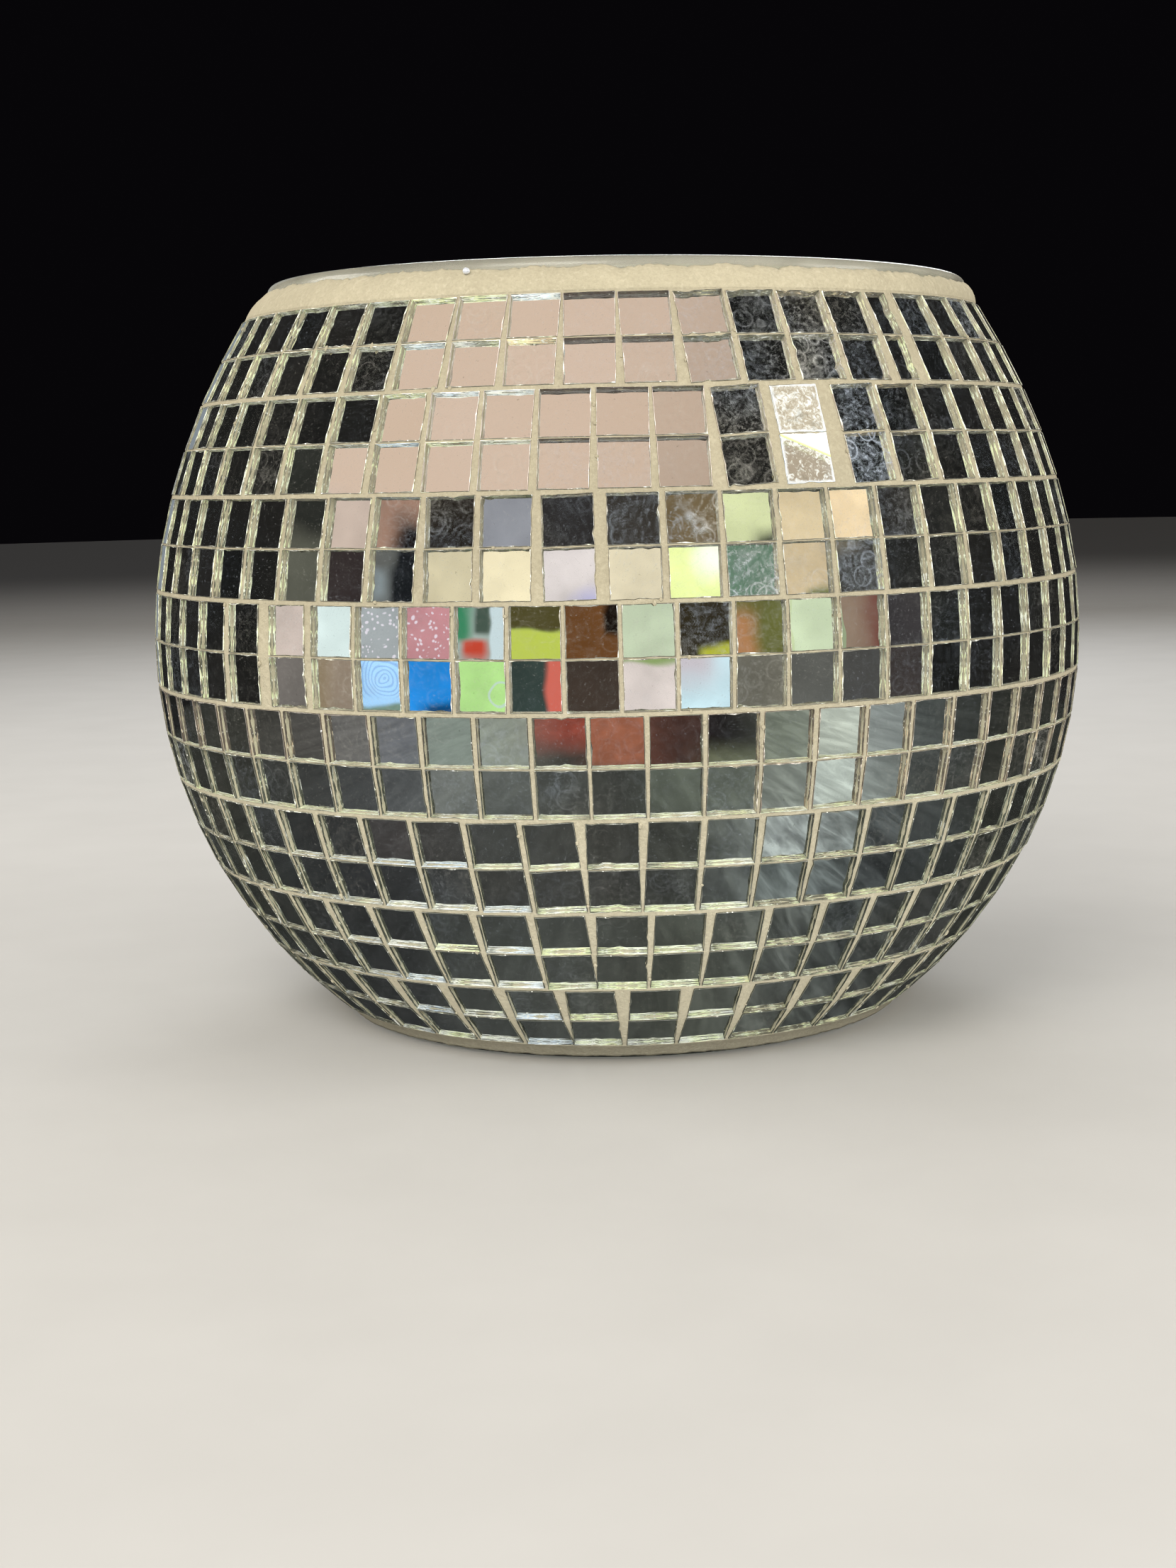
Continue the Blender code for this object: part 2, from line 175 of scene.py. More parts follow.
# --------------------------------------------------------------------------
# Node helpers
# --------------------------------------------------------------------------
class Value:
    """One output of a shader node; arithmetic on it adds Math nodes."""

    def __init__(self, shader, socket):
        self.shader, self.socket = shader, socket

    def out(self, name):
        """Another output of the same node."""
        return Value(self.shader, self.socket.node.outputs[name])

    def math(self, operation, *others):
        return self.shader.get("Math", self, *others, operation=operation)

    def __add__(self, other):
        return self.math("ADD", other)

    def __sub__(self, other):
        return self.math("SUBTRACT", other)

    def __rsub__(self, other):
        return self.shader.get("Math", other, self, operation="SUBTRACT")

    def __mul__(self, other):
        return self.math("MULTIPLY", other)

    def __truediv__(self, other):
        return self.math("DIVIDE", other)

    def above(self, limit):
        return self.math("GREATER_THAN", limit)

    def max(self, other):
        return self.math("MAXIMUM", other)

    def clamped(self):
        """Sets the Math node behind this value to clamp it to 0..1."""
        self.socket.node.use_clamp = True
        return self

    def ramp(self, *stops, interpolation="LINEAR"):
        """Stops are (position, grey or colour)."""
        node = self.shader.add("ValToRGB", self)
        node.color_ramp.interpolation = interpolation
        elements = node.color_ramp.elements
        while len(elements) < len(stops):
            elements.new(0.5)
        for element, (position, colour) in zip(elements, stops):
            element.position = position
            rgb = colour if isinstance(colour, tuple) else (colour,) * 3
            element.color = (*rgb, 1.0)
        return Value(self.shader, node.outputs["Color"])

    def rise(self, start, end, top=1.0):
        return self.ramp((start, 0.0), (end, top))

    def fall(self, start, end, top=1.0):
        return self.ramp((start, top), (end, 0.0))

    def between(self, low, high, soft):
        """1 between low and high, with soft ends."""
        steps = []
        for edge, before, after in ((low, 0.0, 1.0), (high, 1.0, 0.0)):
            steps.append(self.shader.get(
                "MapRange", self, From_Min=edge - soft, From_Max=edge + soft,
                To_Min=before, To_Max=after, interpolation_type="SMOOTHSTEP",
            ))
        return steps[0] * steps[1]

    def mix(self, low, high):
        """The first colour where this value is 0, the second where it is 1."""
        return self.shader.blend(self, low, high, "MIX")

    def tinted(self, colour, amount=1.0):
        return self.shader.blend(amount, self, colour, "MULTIPLY")

    def mix_shader(self, low, high):
        return self.shader.get("MixShader", self, low, high)

    def bump(self, strength, distance):
        return self.shader.get("Bump", Height=self, Strength=strength, Distance=distance)


class Shader:
    """The node tree of a material or a world."""

    def __init__(self, owner, kind="Material", coordinates="Object"):
        owner.use_nodes = True
        self.owner, self.tree = owner, owner.node_tree
        self.tree.nodes.clear()
        self.output = self.add("Output" + kind)
        self.place = self.get("TexCoord").out(coordinates)

    def add(self, kind, *inputs, **named):
        """A node. Lower-case names are its settings, capitalised ones its inputs."""
        node = self.tree.nodes.new("ShaderNode" + kind)
        for key, value in named.items():
            if key[0].islower():
                setattr(node, key, value)
        for i, value in enumerate(inputs):
            self.put(node, i, value)
        for key, value in named.items():
            if key[0].isupper():
                self.put(node, key.replace("_", " "), value)
        return node

    def get(self, kind, *inputs, **named):
        """The first output of a new node."""
        return Value(self, self.add(kind, *inputs, **named).outputs[0])

    def put(self, node, key, value):
        socket = node.inputs[key]
        if isinstance(value, Value):
            self.tree.links.new(value.socket, socket)
        elif socket.type == "RGBA":
            socket.default_value = (*value, 1.0)
        else:
            socket.default_value = value

    def blend(self, amount, first, second, blend_type):
        node = self.add("Mix", amount, data_type="RGBA", blend_type=blend_type)
        self.put(node, 6, first)
        self.put(node, 7, second)
        return Value(self, node.outputs[2])

    def noise(self, scale, vector=None, detail=2.0, rough=0.5, warp=0.0):
        return self.get(
            "TexNoise", vector or self.place, Scale=scale, Detail=detail, Roughness=rough,
            Distortion=warp,
        )

    def voronoi(self, scale, vector=None):
        return self.get("TexVoronoi", vector or self.place, Scale=scale)

    def attribute(self, name, output="Fac"):
        return self.get("Attribute", attribute_name=name).out(output)

    def split(self, vector):
        parts = self.get("SeparateXYZ", vector)
        return [parts.out(axis) for axis in "XYZ"]

    def principled(self, colour, rough, **inputs):
        return self.get("BsdfPrincipled", Base_Color=colour, Roughness=rough, **inputs)

    def transparent(self, colour=(1, 1, 1)):
        return self.get("BsdfTransparent", Color=colour)

    def finish(self, surface):
        self.put(self.output, "Surface", surface)
        return self.owner

    def finish_glass(self, shown, clear):
        """Plain clear for shadow and diffuse rays, so light reaches what the glass covers."""
        path = self.get("LightPath")
        passes = path.out("Is Shadow Ray").max(path.out("Is Diffuse Ray"))
        return self.finish(passes.mix_shader(shown, self.transparent(clear)))


def new_material(name):
    return Shader(bpy.data.materials.new(name))


def linear(red, green, blue):
    """An 0-255 display colour in linear light."""
    parts = (red / 255, green / 255, blue / 255)
    return tuple(c / 12.92 if c <= 0.04045 else ((c + 0.055) / 1.055) ** 2.4 for c in parts)


# --------------------------------------------------------------------------
# Materials
# --------------------------------------------------------------------------
def make_grout(name, tone, sand=1.0):
    """Sandy grout: tone scales its colours, sand its relief."""

    def cream(*rgb):
        return tuple(part * tone for part in rgb)

    mat = new_material(name)
    broad = mat.noise(38, detail=4, rough=0.55)
    mid = mat.noise(210, detail=3, rough=0.6)
    fine = mat.noise(1500, detail=4, rough=0.7)
    grains = mat.noise(820, detail=3, rough=0.65)
    pits = mat.voronoi(1050)
    base = broad.ramp((0.30, cream(0.425, 0.382, 0.268)), (0.72, cream(0.500, 0.450, 0.318)))
    base = mid.rise(0.35, 0.75, top=0.35).mix(base, cream(0.545, 0.495, 0.36))
    base = fine.fall(0.40, 0.58, top=0.28).mix(base, cream(0.30, 0.265, 0.185))
    base = grains.rise(0.54, 0.68, top=0.30).mix(base, cream(0.64, 0.59, 0.44))
    # painted light: paler and cooler towards the foot, brightening the lower rows' grout that too
    # little light reaches
    z = mat.split(mat.place)[2]
    base = base.tinted((z * 5).ramp((0.12, (1.46, 1.50, 1.58)), (0.50, (1.0, 1.0, 1.0))))
    height = fine * 0.9 + pits.rise(0, 0.35) * 0.35 + mid * 1.3 + grains * 0.7
    normal = height.bump(strength=0.6 * sand, distance=0.00032)
    rough = mid.ramp((0.3, 0.78), (0.7, 0.95))
    return mat.finish(mat.principled(base, rough, Normal=normal, Specular_IOR_Level=0.25))


def film_on_tile(mat):
    """How much of the clear face is hidden by haze, specks, wiped streaks, loops and scratches."""
    where = mat.get("VectorMath", mat.place, mat.attribute("rand") * 0.37, operation="ADD")

    def drawn_out(rotation, share):
        return mat.get("Mapping", where, Rotation=rotation, Scale=(1.0, share, 1.0))

    cloud = mat.noise(330, where, detail=5, rough=0.68, warp=1.3)
    cloud = cloud.ramp((0.46, 0.0), (0.62, 0.55), (0.76, 1.0))
    specks = mat.noise(1500, where, rough=0.6).rise(0.60, 0.68)
    slanted = drawn_out((0.3, 0.5, 0.9), 0.14)
    streak = mat.noise(1100, slanted, detail=3, rough=0.6, warp=0.4).rise(0.55, 0.64)
    # loops: thin circles, each in a cell of its own
    circles = []
    for scale, radius, offset in ((150.0, 0.30, 0.0), (185.0, 0.36, 0.11)):
        shift = (offset, offset * 0.7, -offset)
        moved = mat.get("VectorMath", where, shift, operation="ADD")
        stops = (radius - 0.045, 0.0), (radius, 1.0), (radius + 0.045, 0.0)
        circles.append(mat.voronoi(scale, moved).ramp(*stops))
    loops = circles[0].max(circles[1]) * mat.noise(90, where, detail=1).rise(0.47, 0.56)
    film = cloud * 0.80 + specks * 0.45 + streak * 0.70 + loops * 0.95
    film = (film * mat.attribute("haze")).clamped()
    # a few long hair scratches that every tile has
    hair = drawn_out((0.8, -0.4, 2.1), 0.035)
    scratch = mat.noise(2200, hair, detail=1, warp=0.1).rise(0.675, 0.72)
    return (film + scratch * 0.10).clamped()


def dried_glue(mat):
    """Glue dried over a whole tile, crinkled like foil, with a painted reflection on the lower
    tile, and how much of the tile they cover.
    """
    crackle = mat.noise(980, detail=3, rough=0.62, warp=1.0)
    wrinkle = mat.noise(1500, rough=0.6, warp=0.8)
    relief = crackle + wrinkle * 0.4
    across, down, which = mat.split(mat.attribute("on_tile", "Vector"))
    lower = which.above(1.5)
    # a painted reflection: the lower tile's plain bright patch lies above a slanted line with a
    # yellow-green fringe
    over = across * 0.446 - down - 2.08
    painted_reflection_patch = (over * 4).rise(0, 0.5) * lower
    border = across.math("ABSOLUTE").max(down.math("ABSOLUTE"))
    border = ((border + wrinkle * 0.7) / 10).rise(0.462, 0.495)
    under_line = (over * -0.5).fall(0, 0.9, top=0.13) * lower
    crumb = crackle + under_line - lower * 0.055
    colour = crumb.ramp(
        (0.40, (0.34, 0.30, 0.225)), (0.49, (0.43, 0.395, 0.315)),
        (0.55, (0.56, 0.55, 0.49)), (0.62, (0.72, 0.74, 0.72)),
    )
    colour = (crumb.fall(0.47, 0.53) * (lower * 0.60)).mix(colour, (0.25, 0.20, 0.145))
    colour = (border * 0.85).mix(colour, (0.70, 0.735, 0.75))
    fringe = over.ramp(
        (0.10, (0.50, 0.76, 0.20)), (0.40, (0.86, 0.95, 0.42)), (0.85, (1.0, 1.0, 0.97))
    )
    colour = painted_reflection_patch.mix(colour, fringe)
    normal = relief.bump(strength=0.55, distance=0.0004)
    glue = mat.principled(colour, 0.42, Metallic=0.0, Normal=normal)
    patches = mat.noise(420, detail=3, rough=0.6).ramp((0.28, 0.60), (0.46, 1.0))
    return glue, (mat.attribute("glued") * patches).max(painted_reflection_patch)


def make_tile_front():
    """Clear glass face under a film of dust, or under dried glue."""
    mat = new_material("tile_glass_face")
    glass = mat.get("BsdfRefraction", Color=(0.972, 0.978, 0.968), Roughness=0.0, IOR=1.5)
    tint = mat.noise(40, detail=1).rise(0.40, 0.60).mix((0.42, 0.48, 0.56), (0.52, 0.51, 0.46))
    shown = film_on_tile(mat).mix_shader(glass, mat.get("BsdfDiffuse", Color=tint))
    glue, covered = dried_glue(mat)
    return mat.finish_glass(covered.mix_shader(shown, glue), clear=(0.93, 0.95, 0.94))


def make_silver():
    mat = new_material("tile_silvering")
    worn = mat.noise(900, detail=3, rough=0.6).rise(0.70, 0.78)
    base = (worn * 0.5).mix((0.91, 0.92, 0.905), (0.30, 0.29, 0.25))
    normal = mat.noise(120, detail=1, rough=0.4).bump(strength=0.06, distance=0.0001)
    return mat.finish(mat.principled(base, 0.0, Metallic=1.0, Normal=normal))


def make_tile_edge():
    """The tile's sides: dark greenish glass with broken bright streaks of painted highlight, and
    painted reflections of grout on the dull parts.
    """
    mat = new_material("tile_cut_edge")
    place = mat.attribute("edge_place", "Vector")
    gleam = mat.attribute("gleam")
    hue = mat.attribute("hue")
    pale_reflection = mat.attribute("pale_reflection")

    def stretched(along, through):
        return mat.get("Mapping", place, Scale=(along, through, 1.0))

    short = mat.noise(1, stretched(0.40, 1.15), detail=3, rough=0.60, warp=0.6)
    long = mat.noise(1, stretched(0.13, 2.1), detail=3, rough=0.60, warp=0.3)
    drawn = gleam.rise(0.72, 0.85)
    streak = short * (1 - drawn) + long * drawn
    fine = mat.noise(1, stretched(0.55, 3.2), rough=0.6, warp=0.3)
    tinge = mat.noise(1, stretched(0.22, 0.5), detail=1)
    flake = mat.voronoi(1, stretched(0.85, 1.25))
    shades = (hue * 0.3333 + 0.3333 + (tinge - 0.5) * 0.55).clamped()
    bright = shades.ramp(
        (0.05, (0.66, 0.80, 0.97)), (0.30, (0.95, 0.96, 0.93)), (0.48, (0.85, 0.94, 0.56)),
        (0.68, (0.93, 0.72, 0.46)), (0.95, (0.42, 0.30, 0.23)),
    )
    half = shades.ramp(
        (0.10, (0.30, 0.33, 0.34)), (0.45, (0.33, 0.32, 0.21)), (0.95, (0.22, 0.15, 0.115))
    )
    deep = shades.ramp((0.40, (0.075, 0.082, 0.060)), (0.90, (0.085, 0.060, 0.048)))
    # dull sides are plain grey-green; some of them look straight at pale grout, whose painted
    # reflection makes their dull parts paler, and pinker above 1
    half = (1 - gleam * 1.7).clamped().mix(half, (0.135, 0.145, 0.112))
    first = pale_reflection.math("MINIMUM", 1.0)
    second = (pale_reflection - 1).clamped()
    half = (first * 0.8).mix(half, (0.42, 0.375, 0.275))
    deep = first.mix(deep, (0.345, 0.305, 0.225))
    half = second.mix(half, (0.77, 0.645, 0.58))
    deep = second.mix(deep, (0.67, 0.56, 0.505))
    # painted highlight: the more it gleams, the more of it is bright
    level = streak + (gleam - 0.64) * 0.32
    level = level - (gleam * 0.75).rise(0.68, 0.92, top=0.125)
    some = level.rise(0.40, 0.50)
    much = level.rise(0.495, 0.555)
    base = much.mix(some.mix(deep, half), bright)
    lines = fine.fall(0.38, 0.47, top=0.72) * gleam.ramp((0.25, 0.30), (0.60, 1.0))
    base = lines.mix(base, deep)
    # small painted glints like flakes, sparse on the dull sides and thick on the bright ones
    base = (flake - gleam * 0.12).fall(0.085, 0.14).mix(base, (0.97, 0.98, 0.92))
    # painted glints along each side's rims, at the face and at the back
    depth = mat.split(place)[1]
    arris = (depth / TILE_THICK + 1).ramp((0.0, 0.6), (0.08, 0.0), (0.93, 0.0), (0.97, 1.0))
    arris = arris * level.ramp((0.44, 0.10), (0.58, 0.68))
    base = arris.mix(base, (0.92, 0.94, 0.90))
    # the sides that gleam most carry the light of a lamp that the room does not have
    glow = (gleam * 0.75).ramp((0.66, (1.0, 1.0, 1.0)), (0.90, (1.65, 1.65, 1.65)))
    base = base.tinted(glow, amount=much)
    normal = (streak + fine * 0.40).bump(strength=0.8, distance=0.0005)
    rough = fine.ramp((0.35, 0.22), (0.65, 0.42))
    return mat.finish(mat.principled(base, rough, Normal=normal, Specular_IOR_Level=0.6))


def make_bowl_glass():
    """Clear glass, smeared and dulled near the lip."""
    mat = new_material("bowl_clear_glass")
    z = mat.split(mat.place)[2]

    def height_at_lip():
        return (z - 0.150) * 50

    film = mat.noise(60, detail=5, rough=0.6).rise(0.5, 0.85) * 0.05
    smear = height_at_lip().ramp((0.33, 0.0), (0.42, 0.30), (0.50, 0.20))
    smear = smear * mat.noise(90, detail=4, rough=0.6).ramp((0.35, 0.7), (0.65, 1.2))
    glass = mat.get(
        "BsdfGlass", Color=(0.955, 0.972, 0.955), IOR=1.5,
        Roughness=height_at_lip().rise(0.33, 0.42, top=0.22),
        Normal=mat.noise(26).bump(strength=0.25, distance=0.0012),
    )
    dust = mat.get("BsdfDiffuse", Color=(0.62, 0.59, 0.49))
    shown = film.max(smear).mix_shader(glass, dust)
    return mat.finish_glass(shown, clear=(0.965, 0.98, 0.97))


def make_adhesive():
    """Off-white, blotchy glue; the tiles' grey backs show where it is thin."""
    mat = new_material("tile_adhesive_coat")
    blot = mat.noise(70, detail=5, rough=0.62, warp=0.9)
    fine = mat.noise(620, detail=4, rough=0.6)
    base = blot.ramp(
        (0.32, (0.60, 0.56, 0.45)), (0.50, (0.74, 0.70, 0.58)), (0.70, (0.82, 0.79, 0.69))
    )
    base = fine.fall(0.40, 0.60, top=0.35).mix(base, (0.50, 0.46, 0.36))
    bubbles = mat.voronoi(330).fall(0.16, 0.24)
    backs = fine.mix((0.15, 0.155, 0.15), (0.27, 0.275, 0.26))
    backs = bubbles.mix(backs, (0.46, 0.45, 0.39))
    thin = mat.attribute("tile_back") * blot.ramp((0.40, 0.95), (0.68, 0.35))
    normal = (blot * 2 + fine).bump(strength=0.5, distance=0.0005)
    return mat.finish(mat.principled(thin.mix(base, backs), 0.5, Normal=normal))


def make_bead_glue():
    mat = new_material("bead_clear_glue")
    cloudy = mat.noise(900).ramp((0.35, (0.62, 0.66, 0.74)), (0.65, (0.90, 0.92, 0.97)))
    normal = mat.noise(500).bump(strength=0.2, distance=0.0002)
    return mat.finish(mat.principled(cloudy, 0.12, Metallic=0.35, Normal=normal))


GROUT = make_grout("cream_grout", tone=0.86)
# the rim band's copy is painted lighter than the joints' grout: painted light, for the light that
# falls on the band from above
GROUT_BAND = make_grout("cream_grout_band", tone=0.98, sand=0.9)
GROUT_FOOT = make_grout("cream_grout_foot", tone=0.50)
TILE_MATERIALS = [make_tile_front(), make_silver(), make_tile_edge()]
FACE_SLOT, SILVER_SLOT, EDGE_SLOT = range(3)
BOWL = make_bowl_glass()
ADHESIVE = make_adhesive()


# --------------------------------------------------------------------------
# Mesh helpers
# --------------------------------------------------------------------------
def link_object(name, mesh):
    obj = bpy.data.objects.new(name, mesh)
    bpy.context.scene.collection.objects.link(obj)
    return obj


def new_object(name, points, faces, materials, slots=None, smooth=False):
    mesh = bpy.data.meshes.new(name)
    mesh.from_pydata((np.asarray(points) * MM).tolist(), [], faces)
    for material in materials:
        mesh.materials.append(material)
    if slots is not None:
        mesh.polygons.foreach_set("material_index", np.asarray(slots, np.int32))
    if smooth:
        mesh.polygons.foreach_set("use_smooth", np.ones(len(mesh.polygons), bool))
    mesh.validate()
    mesh.update()
    obj = link_object(name, mesh)
    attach(obj, "root")
    return obj


def add_attribute(obj, name, values, domain="FACE"):
    values = np.array(values, np.float32)
    kind, field = ("FLOAT", "value") if values.ndim == 1 else ("FLOAT_VECTOR", "vector")
    attribute = obj.data.attributes.new(name, kind, domain)
    attribute.data.foreach_set(field, values.ravel())


def lofted(name, section_at, steps, material, closed=True, tips=()):
    """A section, given for each azimuth as (radius, height) points, carried round the Z axis.

    Tips are heights at which the tiny rings on the axis are gathered to a point.
    """
    rings = []
    for i in range(steps):
        azimuth = 360.0 * i / steps - 180.0
        section = np.asarray(section_at(azimuth))
        rings.append(around(azimuth, section[:, 0], section[:, 1]))
    count = len(rings[0])
    faces = []
    for i in range(steps):
        here, there = i * count, (i + 1) % steps * count
        for j in range(count if closed else count - 1):
            k = (j + 1) % count
            faces.append((here + j, here + k, there + k, there + j))
    obj = new_object(name, np.concatenate(rings), faces, [material], smooth=True)
    mesh = bmesh.new()
    mesh.from_mesh(obj.data)
    for tip in tips:
        tip *= MM
        near = [
            v for v in mesh.verts
            if v.co.xy.length < 0.05 * MM and abs(v.co.z - tip) < 0.05 * MM
        ]
        bmesh.ops.pointmerge(mesh, verts=near, merge_co=Vector((0, 0, tip)))
    bmesh.ops.recalc_face_normals(mesh, faces=mesh.faces)
    mesh.to_mesh(obj.data)
    mesh.free()
    return obj


# --------------------------------------------------------------------------
# Tiles
# --------------------------------------------------------------------------
class Tile:
    """One mirror tile: its place, its axes and its outline (across, down) in its own plane."""

    def __init__(self, piece, strip, lower, azimuth, turn, width, cut):
        """lower is 0 for the strip's upper row and 1 for its lower row."""
        self.strip, self.lower = strip, lower
        self.row = row = 2 * strip + lower
        self.rnd = rnd = random.Random(repr((piece, lower, round(azimuth, 3))))
        offset = (-1 if lower == 0 else 1) * (TILE + ROW_JOINT) / 2
        turn = math.radians(turn)
        aside, below = offset * math.sin(turn), offset * math.cos(turn)
        strip_middle = (2 * strip + 1) * ROW_PITCH
        radius = profile_at(strip_middle + below)[0]
        self.arc = strip_middle + below + rnd.gauss(0, 0.025)
        turned = azimuth + math.degrees(aside / radius)
        turned += math.degrees(rnd.gauss(0, 0.05) / radius)
        self.turn = turn + math.radians(rnd.gauss(0, 0.25))
        self.width = width + rnd.uniform(-0.07, 0.04) + (0.26 if strip > 3 else 0.14)
        self.height = TILE + rnd.uniform(-0.05, 0.04) + 0.08
        loose = 0.12 if abs((azimuth + 180.0) % 360.0 - 180.0) < 50 else 0.35
        self.tilt = tuple(
            math.radians(max(-1.5, min(1.5, rnd.gauss(0, loose)))) for _ in range(2)
        )
        self.lift = rnd.uniform(-0.05, 0.03)
        self.azimuth = (turned + 180.0) % 360.0 - 180.0
        angle, lean = math.radians(self.azimuth - 90.0), lean_of(row)
        radius, z = CORNERS[row] + row_axes(row)[0] * (self.arc - row * ROW_PITCH)
        cos, sin = math.cos(angle), math.sin(angle)
        self.origin = np.array([radius * cos, radius * sin, z])
        self.across = np.array([-sin, cos, 0.0])
        self.down = np.array([math.sin(lean) * cos, math.sin(lean) * sin, -math.cos(lean)])
        self.out = np.array([math.cos(lean) * cos, math.cos(lean) * sin, math.sin(lean)])
        chipped = rnd.random() > 0.93
        self.glued = GLUED.get((piece, lower), 0.0)
        self.outline = self.make_outline(cut or chipped, 0.05 if cut else 0.028)
        self.haze = self.make_haze()

    def make_haze(self):
        """Strongest at the upper right of the front, light elsewhere."""
        row, azimuth, rnd = self.row, self.azimuth, self.rnd
        near = math.exp(-(((azimuth - 24) / 11) ** 2))
        near *= 1.0 if row < 4 else 0.25 if row < 6 else 0.0
        haze = 0.008 if row < 6 and azimuth < -25 else 0.02
        haze = haze + 0.08 * rnd.random() ** 3 + near * rnd.uniform(0.13, 0.27)
        if row < 4 and azimuth < -30:
            haze += 0.008
        if abs(azimuth) > 60 and rnd.random() > 0.9:
            haze += 0.2
        for hazy_row, hazy_azimuth, amount in HAZY_TILES:
            if row == hazy_row and abs(azimuth - hazy_azimuth) < 3.2:
                haze = amount + (haze if row < 4 else 0.0)
        return haze

    def make_outline(self, chipped, rough):
        """Corner-cut rectangle with slightly uneven sides, clockwise from the upper left."""
        rnd = self.rnd
        x, y = self.width / 2, self.height / 2
        corners = [(-x, -y), (x, -y), (x, y), (-x, y)]
        steps = 9 if chipped else 6
        bites = []  # side, place along it, half width, depth
        if chipped:
            for _ in range(rnd.randint(1, 3)):
                bites.append(
                    (rnd.randint(0, 3), rnd.random(), rnd.uniform(0.35, 1.0),
                     rnd.uniform(0.12, 0.42))
                )
        points = []
        for side in range(4):
            (x0, y0), (x1, y1) = corners[side], corners[(side + 1) % 4]
            length = math.hypot(x1 - x0, y1 - y0)
            inward = (-(y1 - y0) / length, (x1 - x0) / length)
            drift = [rnd.gauss(0, rough) for _ in range(steps + 1)]
            corner_cut = rnd.uniform(0.05, 0.16) / length

            def add_point(share, depth):
                points.append((x0 + (x1 - x0) * share + inward[0] * depth,
                               y0 + (y1 - y0) * share + inward[1] * depth))

            for i in range(steps):
                share = corner_cut if i == 0 else i / steps
                depth = abs(drift[i])
                for bite_side, bite_at, bite_reach, bite_depth in bites:
                    off = (share - bite_at) * length / bite_reach
                    if bite_side == side and abs(off) < 1:
                        depth += bite_depth * math.sqrt(1 - off * off)
                add_point(share, depth)
            add_point(1 - corner_cut, 0.02)
        cos, sin = math.cos(self.turn), math.sin(self.turn)
        return np.array([(x * cos + y * sin, -x * sin + y * cos) for x, y in points])

    def side_look(self, side):
        """Gleam (0 to 1.3), hue (-1 bluish, 0 white, 1 orange, 2 brown) and pale reflection (how
        pale the dull parts are) of a side: painted highlight and painted reflection, set by how
        the side faces the light and the room; side 0 is the upper one and 2 the lower one."""
        row, azimuth, rnd = self.row, self.azimuth, self.rnd
        if self.glued:
            return 1.0, -0.7, 0.6
        if abs(azimuth) > 78:
            return rnd.uniform(0.15, 0.75), rnd.uniform(-0.3, 0.9), 0.1
        if row < 8:
            if side == 0:
                if row > 3:
                    return 0.35, 0.4, 0.1
                if -9.5 < azimuth < 10:
                    return 0.03, 2.0, 0.0
                if azimuth < -28:
                    return 0.74, 0.1, 0.25
                if azimuth < 0:
                    return 1.22, rnd.choice((0.25, 0.0, -0.5, 0.9)), 0.1
                return 0.40, rnd.choice((0.0, 1.0)), 0.25
            if side == 2:
                return 0.35, 0.2, 0.4
            if azimuth < -22:
                past = -22 - azimuth
                return min(0.62, 0.54 + 0.006 * past), 0.40, max(0.0, 0.95 - 0.034 * past)
            if azimuth < 12:
                return 0.46, -0.1, 1.75 if row < 4 else 0.9
            pale_reflection = (1.25 if azimuth < 35 else 0.8) if row < 4 else 0.5
            return min(0.60, 0.46 + 0.006 * (azimuth - 12)), 0.35, pale_reflection
        if side == 2:
            if row < 10:
                return 0.80, 0.25, 0.2
            if -33 < azimuth < -11:
                return 0.98, rnd.choice((-0.5, -0.15, 0.15)), 0.1
            if azimuth < -33:
                return max(0.40, 0.90 + 0.024 * (azimuth + 33)), -0.1, 0.2
            if azimuth < 16:
                return 0.94, rnd.choice((0.2, 0.35)), 0.1
            return 0.60, 0.35, 0.3
        if row == 8 and azimuth < -25:
            return 0.30, 1.6, 0.1
        if azimuth > 10:
            return (0.42, 1.35, 0.2) if row < 10 else (0.10 if azimuth < 32 else 0.32, 0.1, 0.0)
        return (0.34 if azimuth < -30 else 0.12), 0.1, 0.0

    def place(self, flat, height):
        """Points of the tile's own plane, at heights over its face."""
        flat = np.asarray(flat)
        over = height + self.lift
        over = over + math.tan(self.tilt[0]) * flat[:, 0] + math.tan(self.tilt[1]) * flat[:, 1]
        plane = self.origin + flat[:, :1] * self.across + flat[:, 1:] * self.down
        return plane + over[:, None] * self.out

    def shrunk(self, inset):
        """The outline drawn in by an inset, or by one for each point."""
        centre = self.outline.mean(0)
        spokes = self.outline - centre
        return centre + spokes * (1 - inset / np.abs(spokes).max(1))[:, None]

    def unrolled(self, grow):
        """The outline grown outwards, as degrees from the tile's azimuth and arc lengths."""
        outline = self.shrunk(-grow)
        arc = self.arc + outline[:, 1]
        return np.degrees(np.arctan2(outline[:, 0], profile_at(arc)[0])), arc


def all_tiles():
    tiles = []
    for i, (first, columns, last, turn_first, turn_last) in enumerate(STRIPS):
        tile_angle = math.degrees(TILE / CORNERS[2 * i + 1][0])
        pitch = (last - first - tile_angle) / (columns - 1)
        for column in range(columns):
            azimuth = first + tile_angle / 2 + pitch * column
            turn = turn_first * math.exp(-column * pitch / 11.0)
            turn += turn_last * math.exp(-(columns - 1 - column) * pitch / 11.0)
            turn += 0.35 * math.sin(column * 0.9 + i) * math.sin(column * 0.31 + 2 * i)
            for lower in (0, 1):
                name = f"mirror_strip_{i + 1}"
                tiles.append(Tile(name, i, lower, azimuth, turn, TILE, cut=False))
                tiles[-1].piece = name
    for name, strip, middle, pitch, width, turns in CUT_PIECES:
        for column, turn in enumerate(turns):
            azimuth = middle + (column - (len(turns) - 1) / 2) * pitch
            for lower in (0, 1):
                tiles.append(Tile(name, strip, lower, azimuth, turn, width, cut=True))
                tiles[-1].piece = name
    return tiles


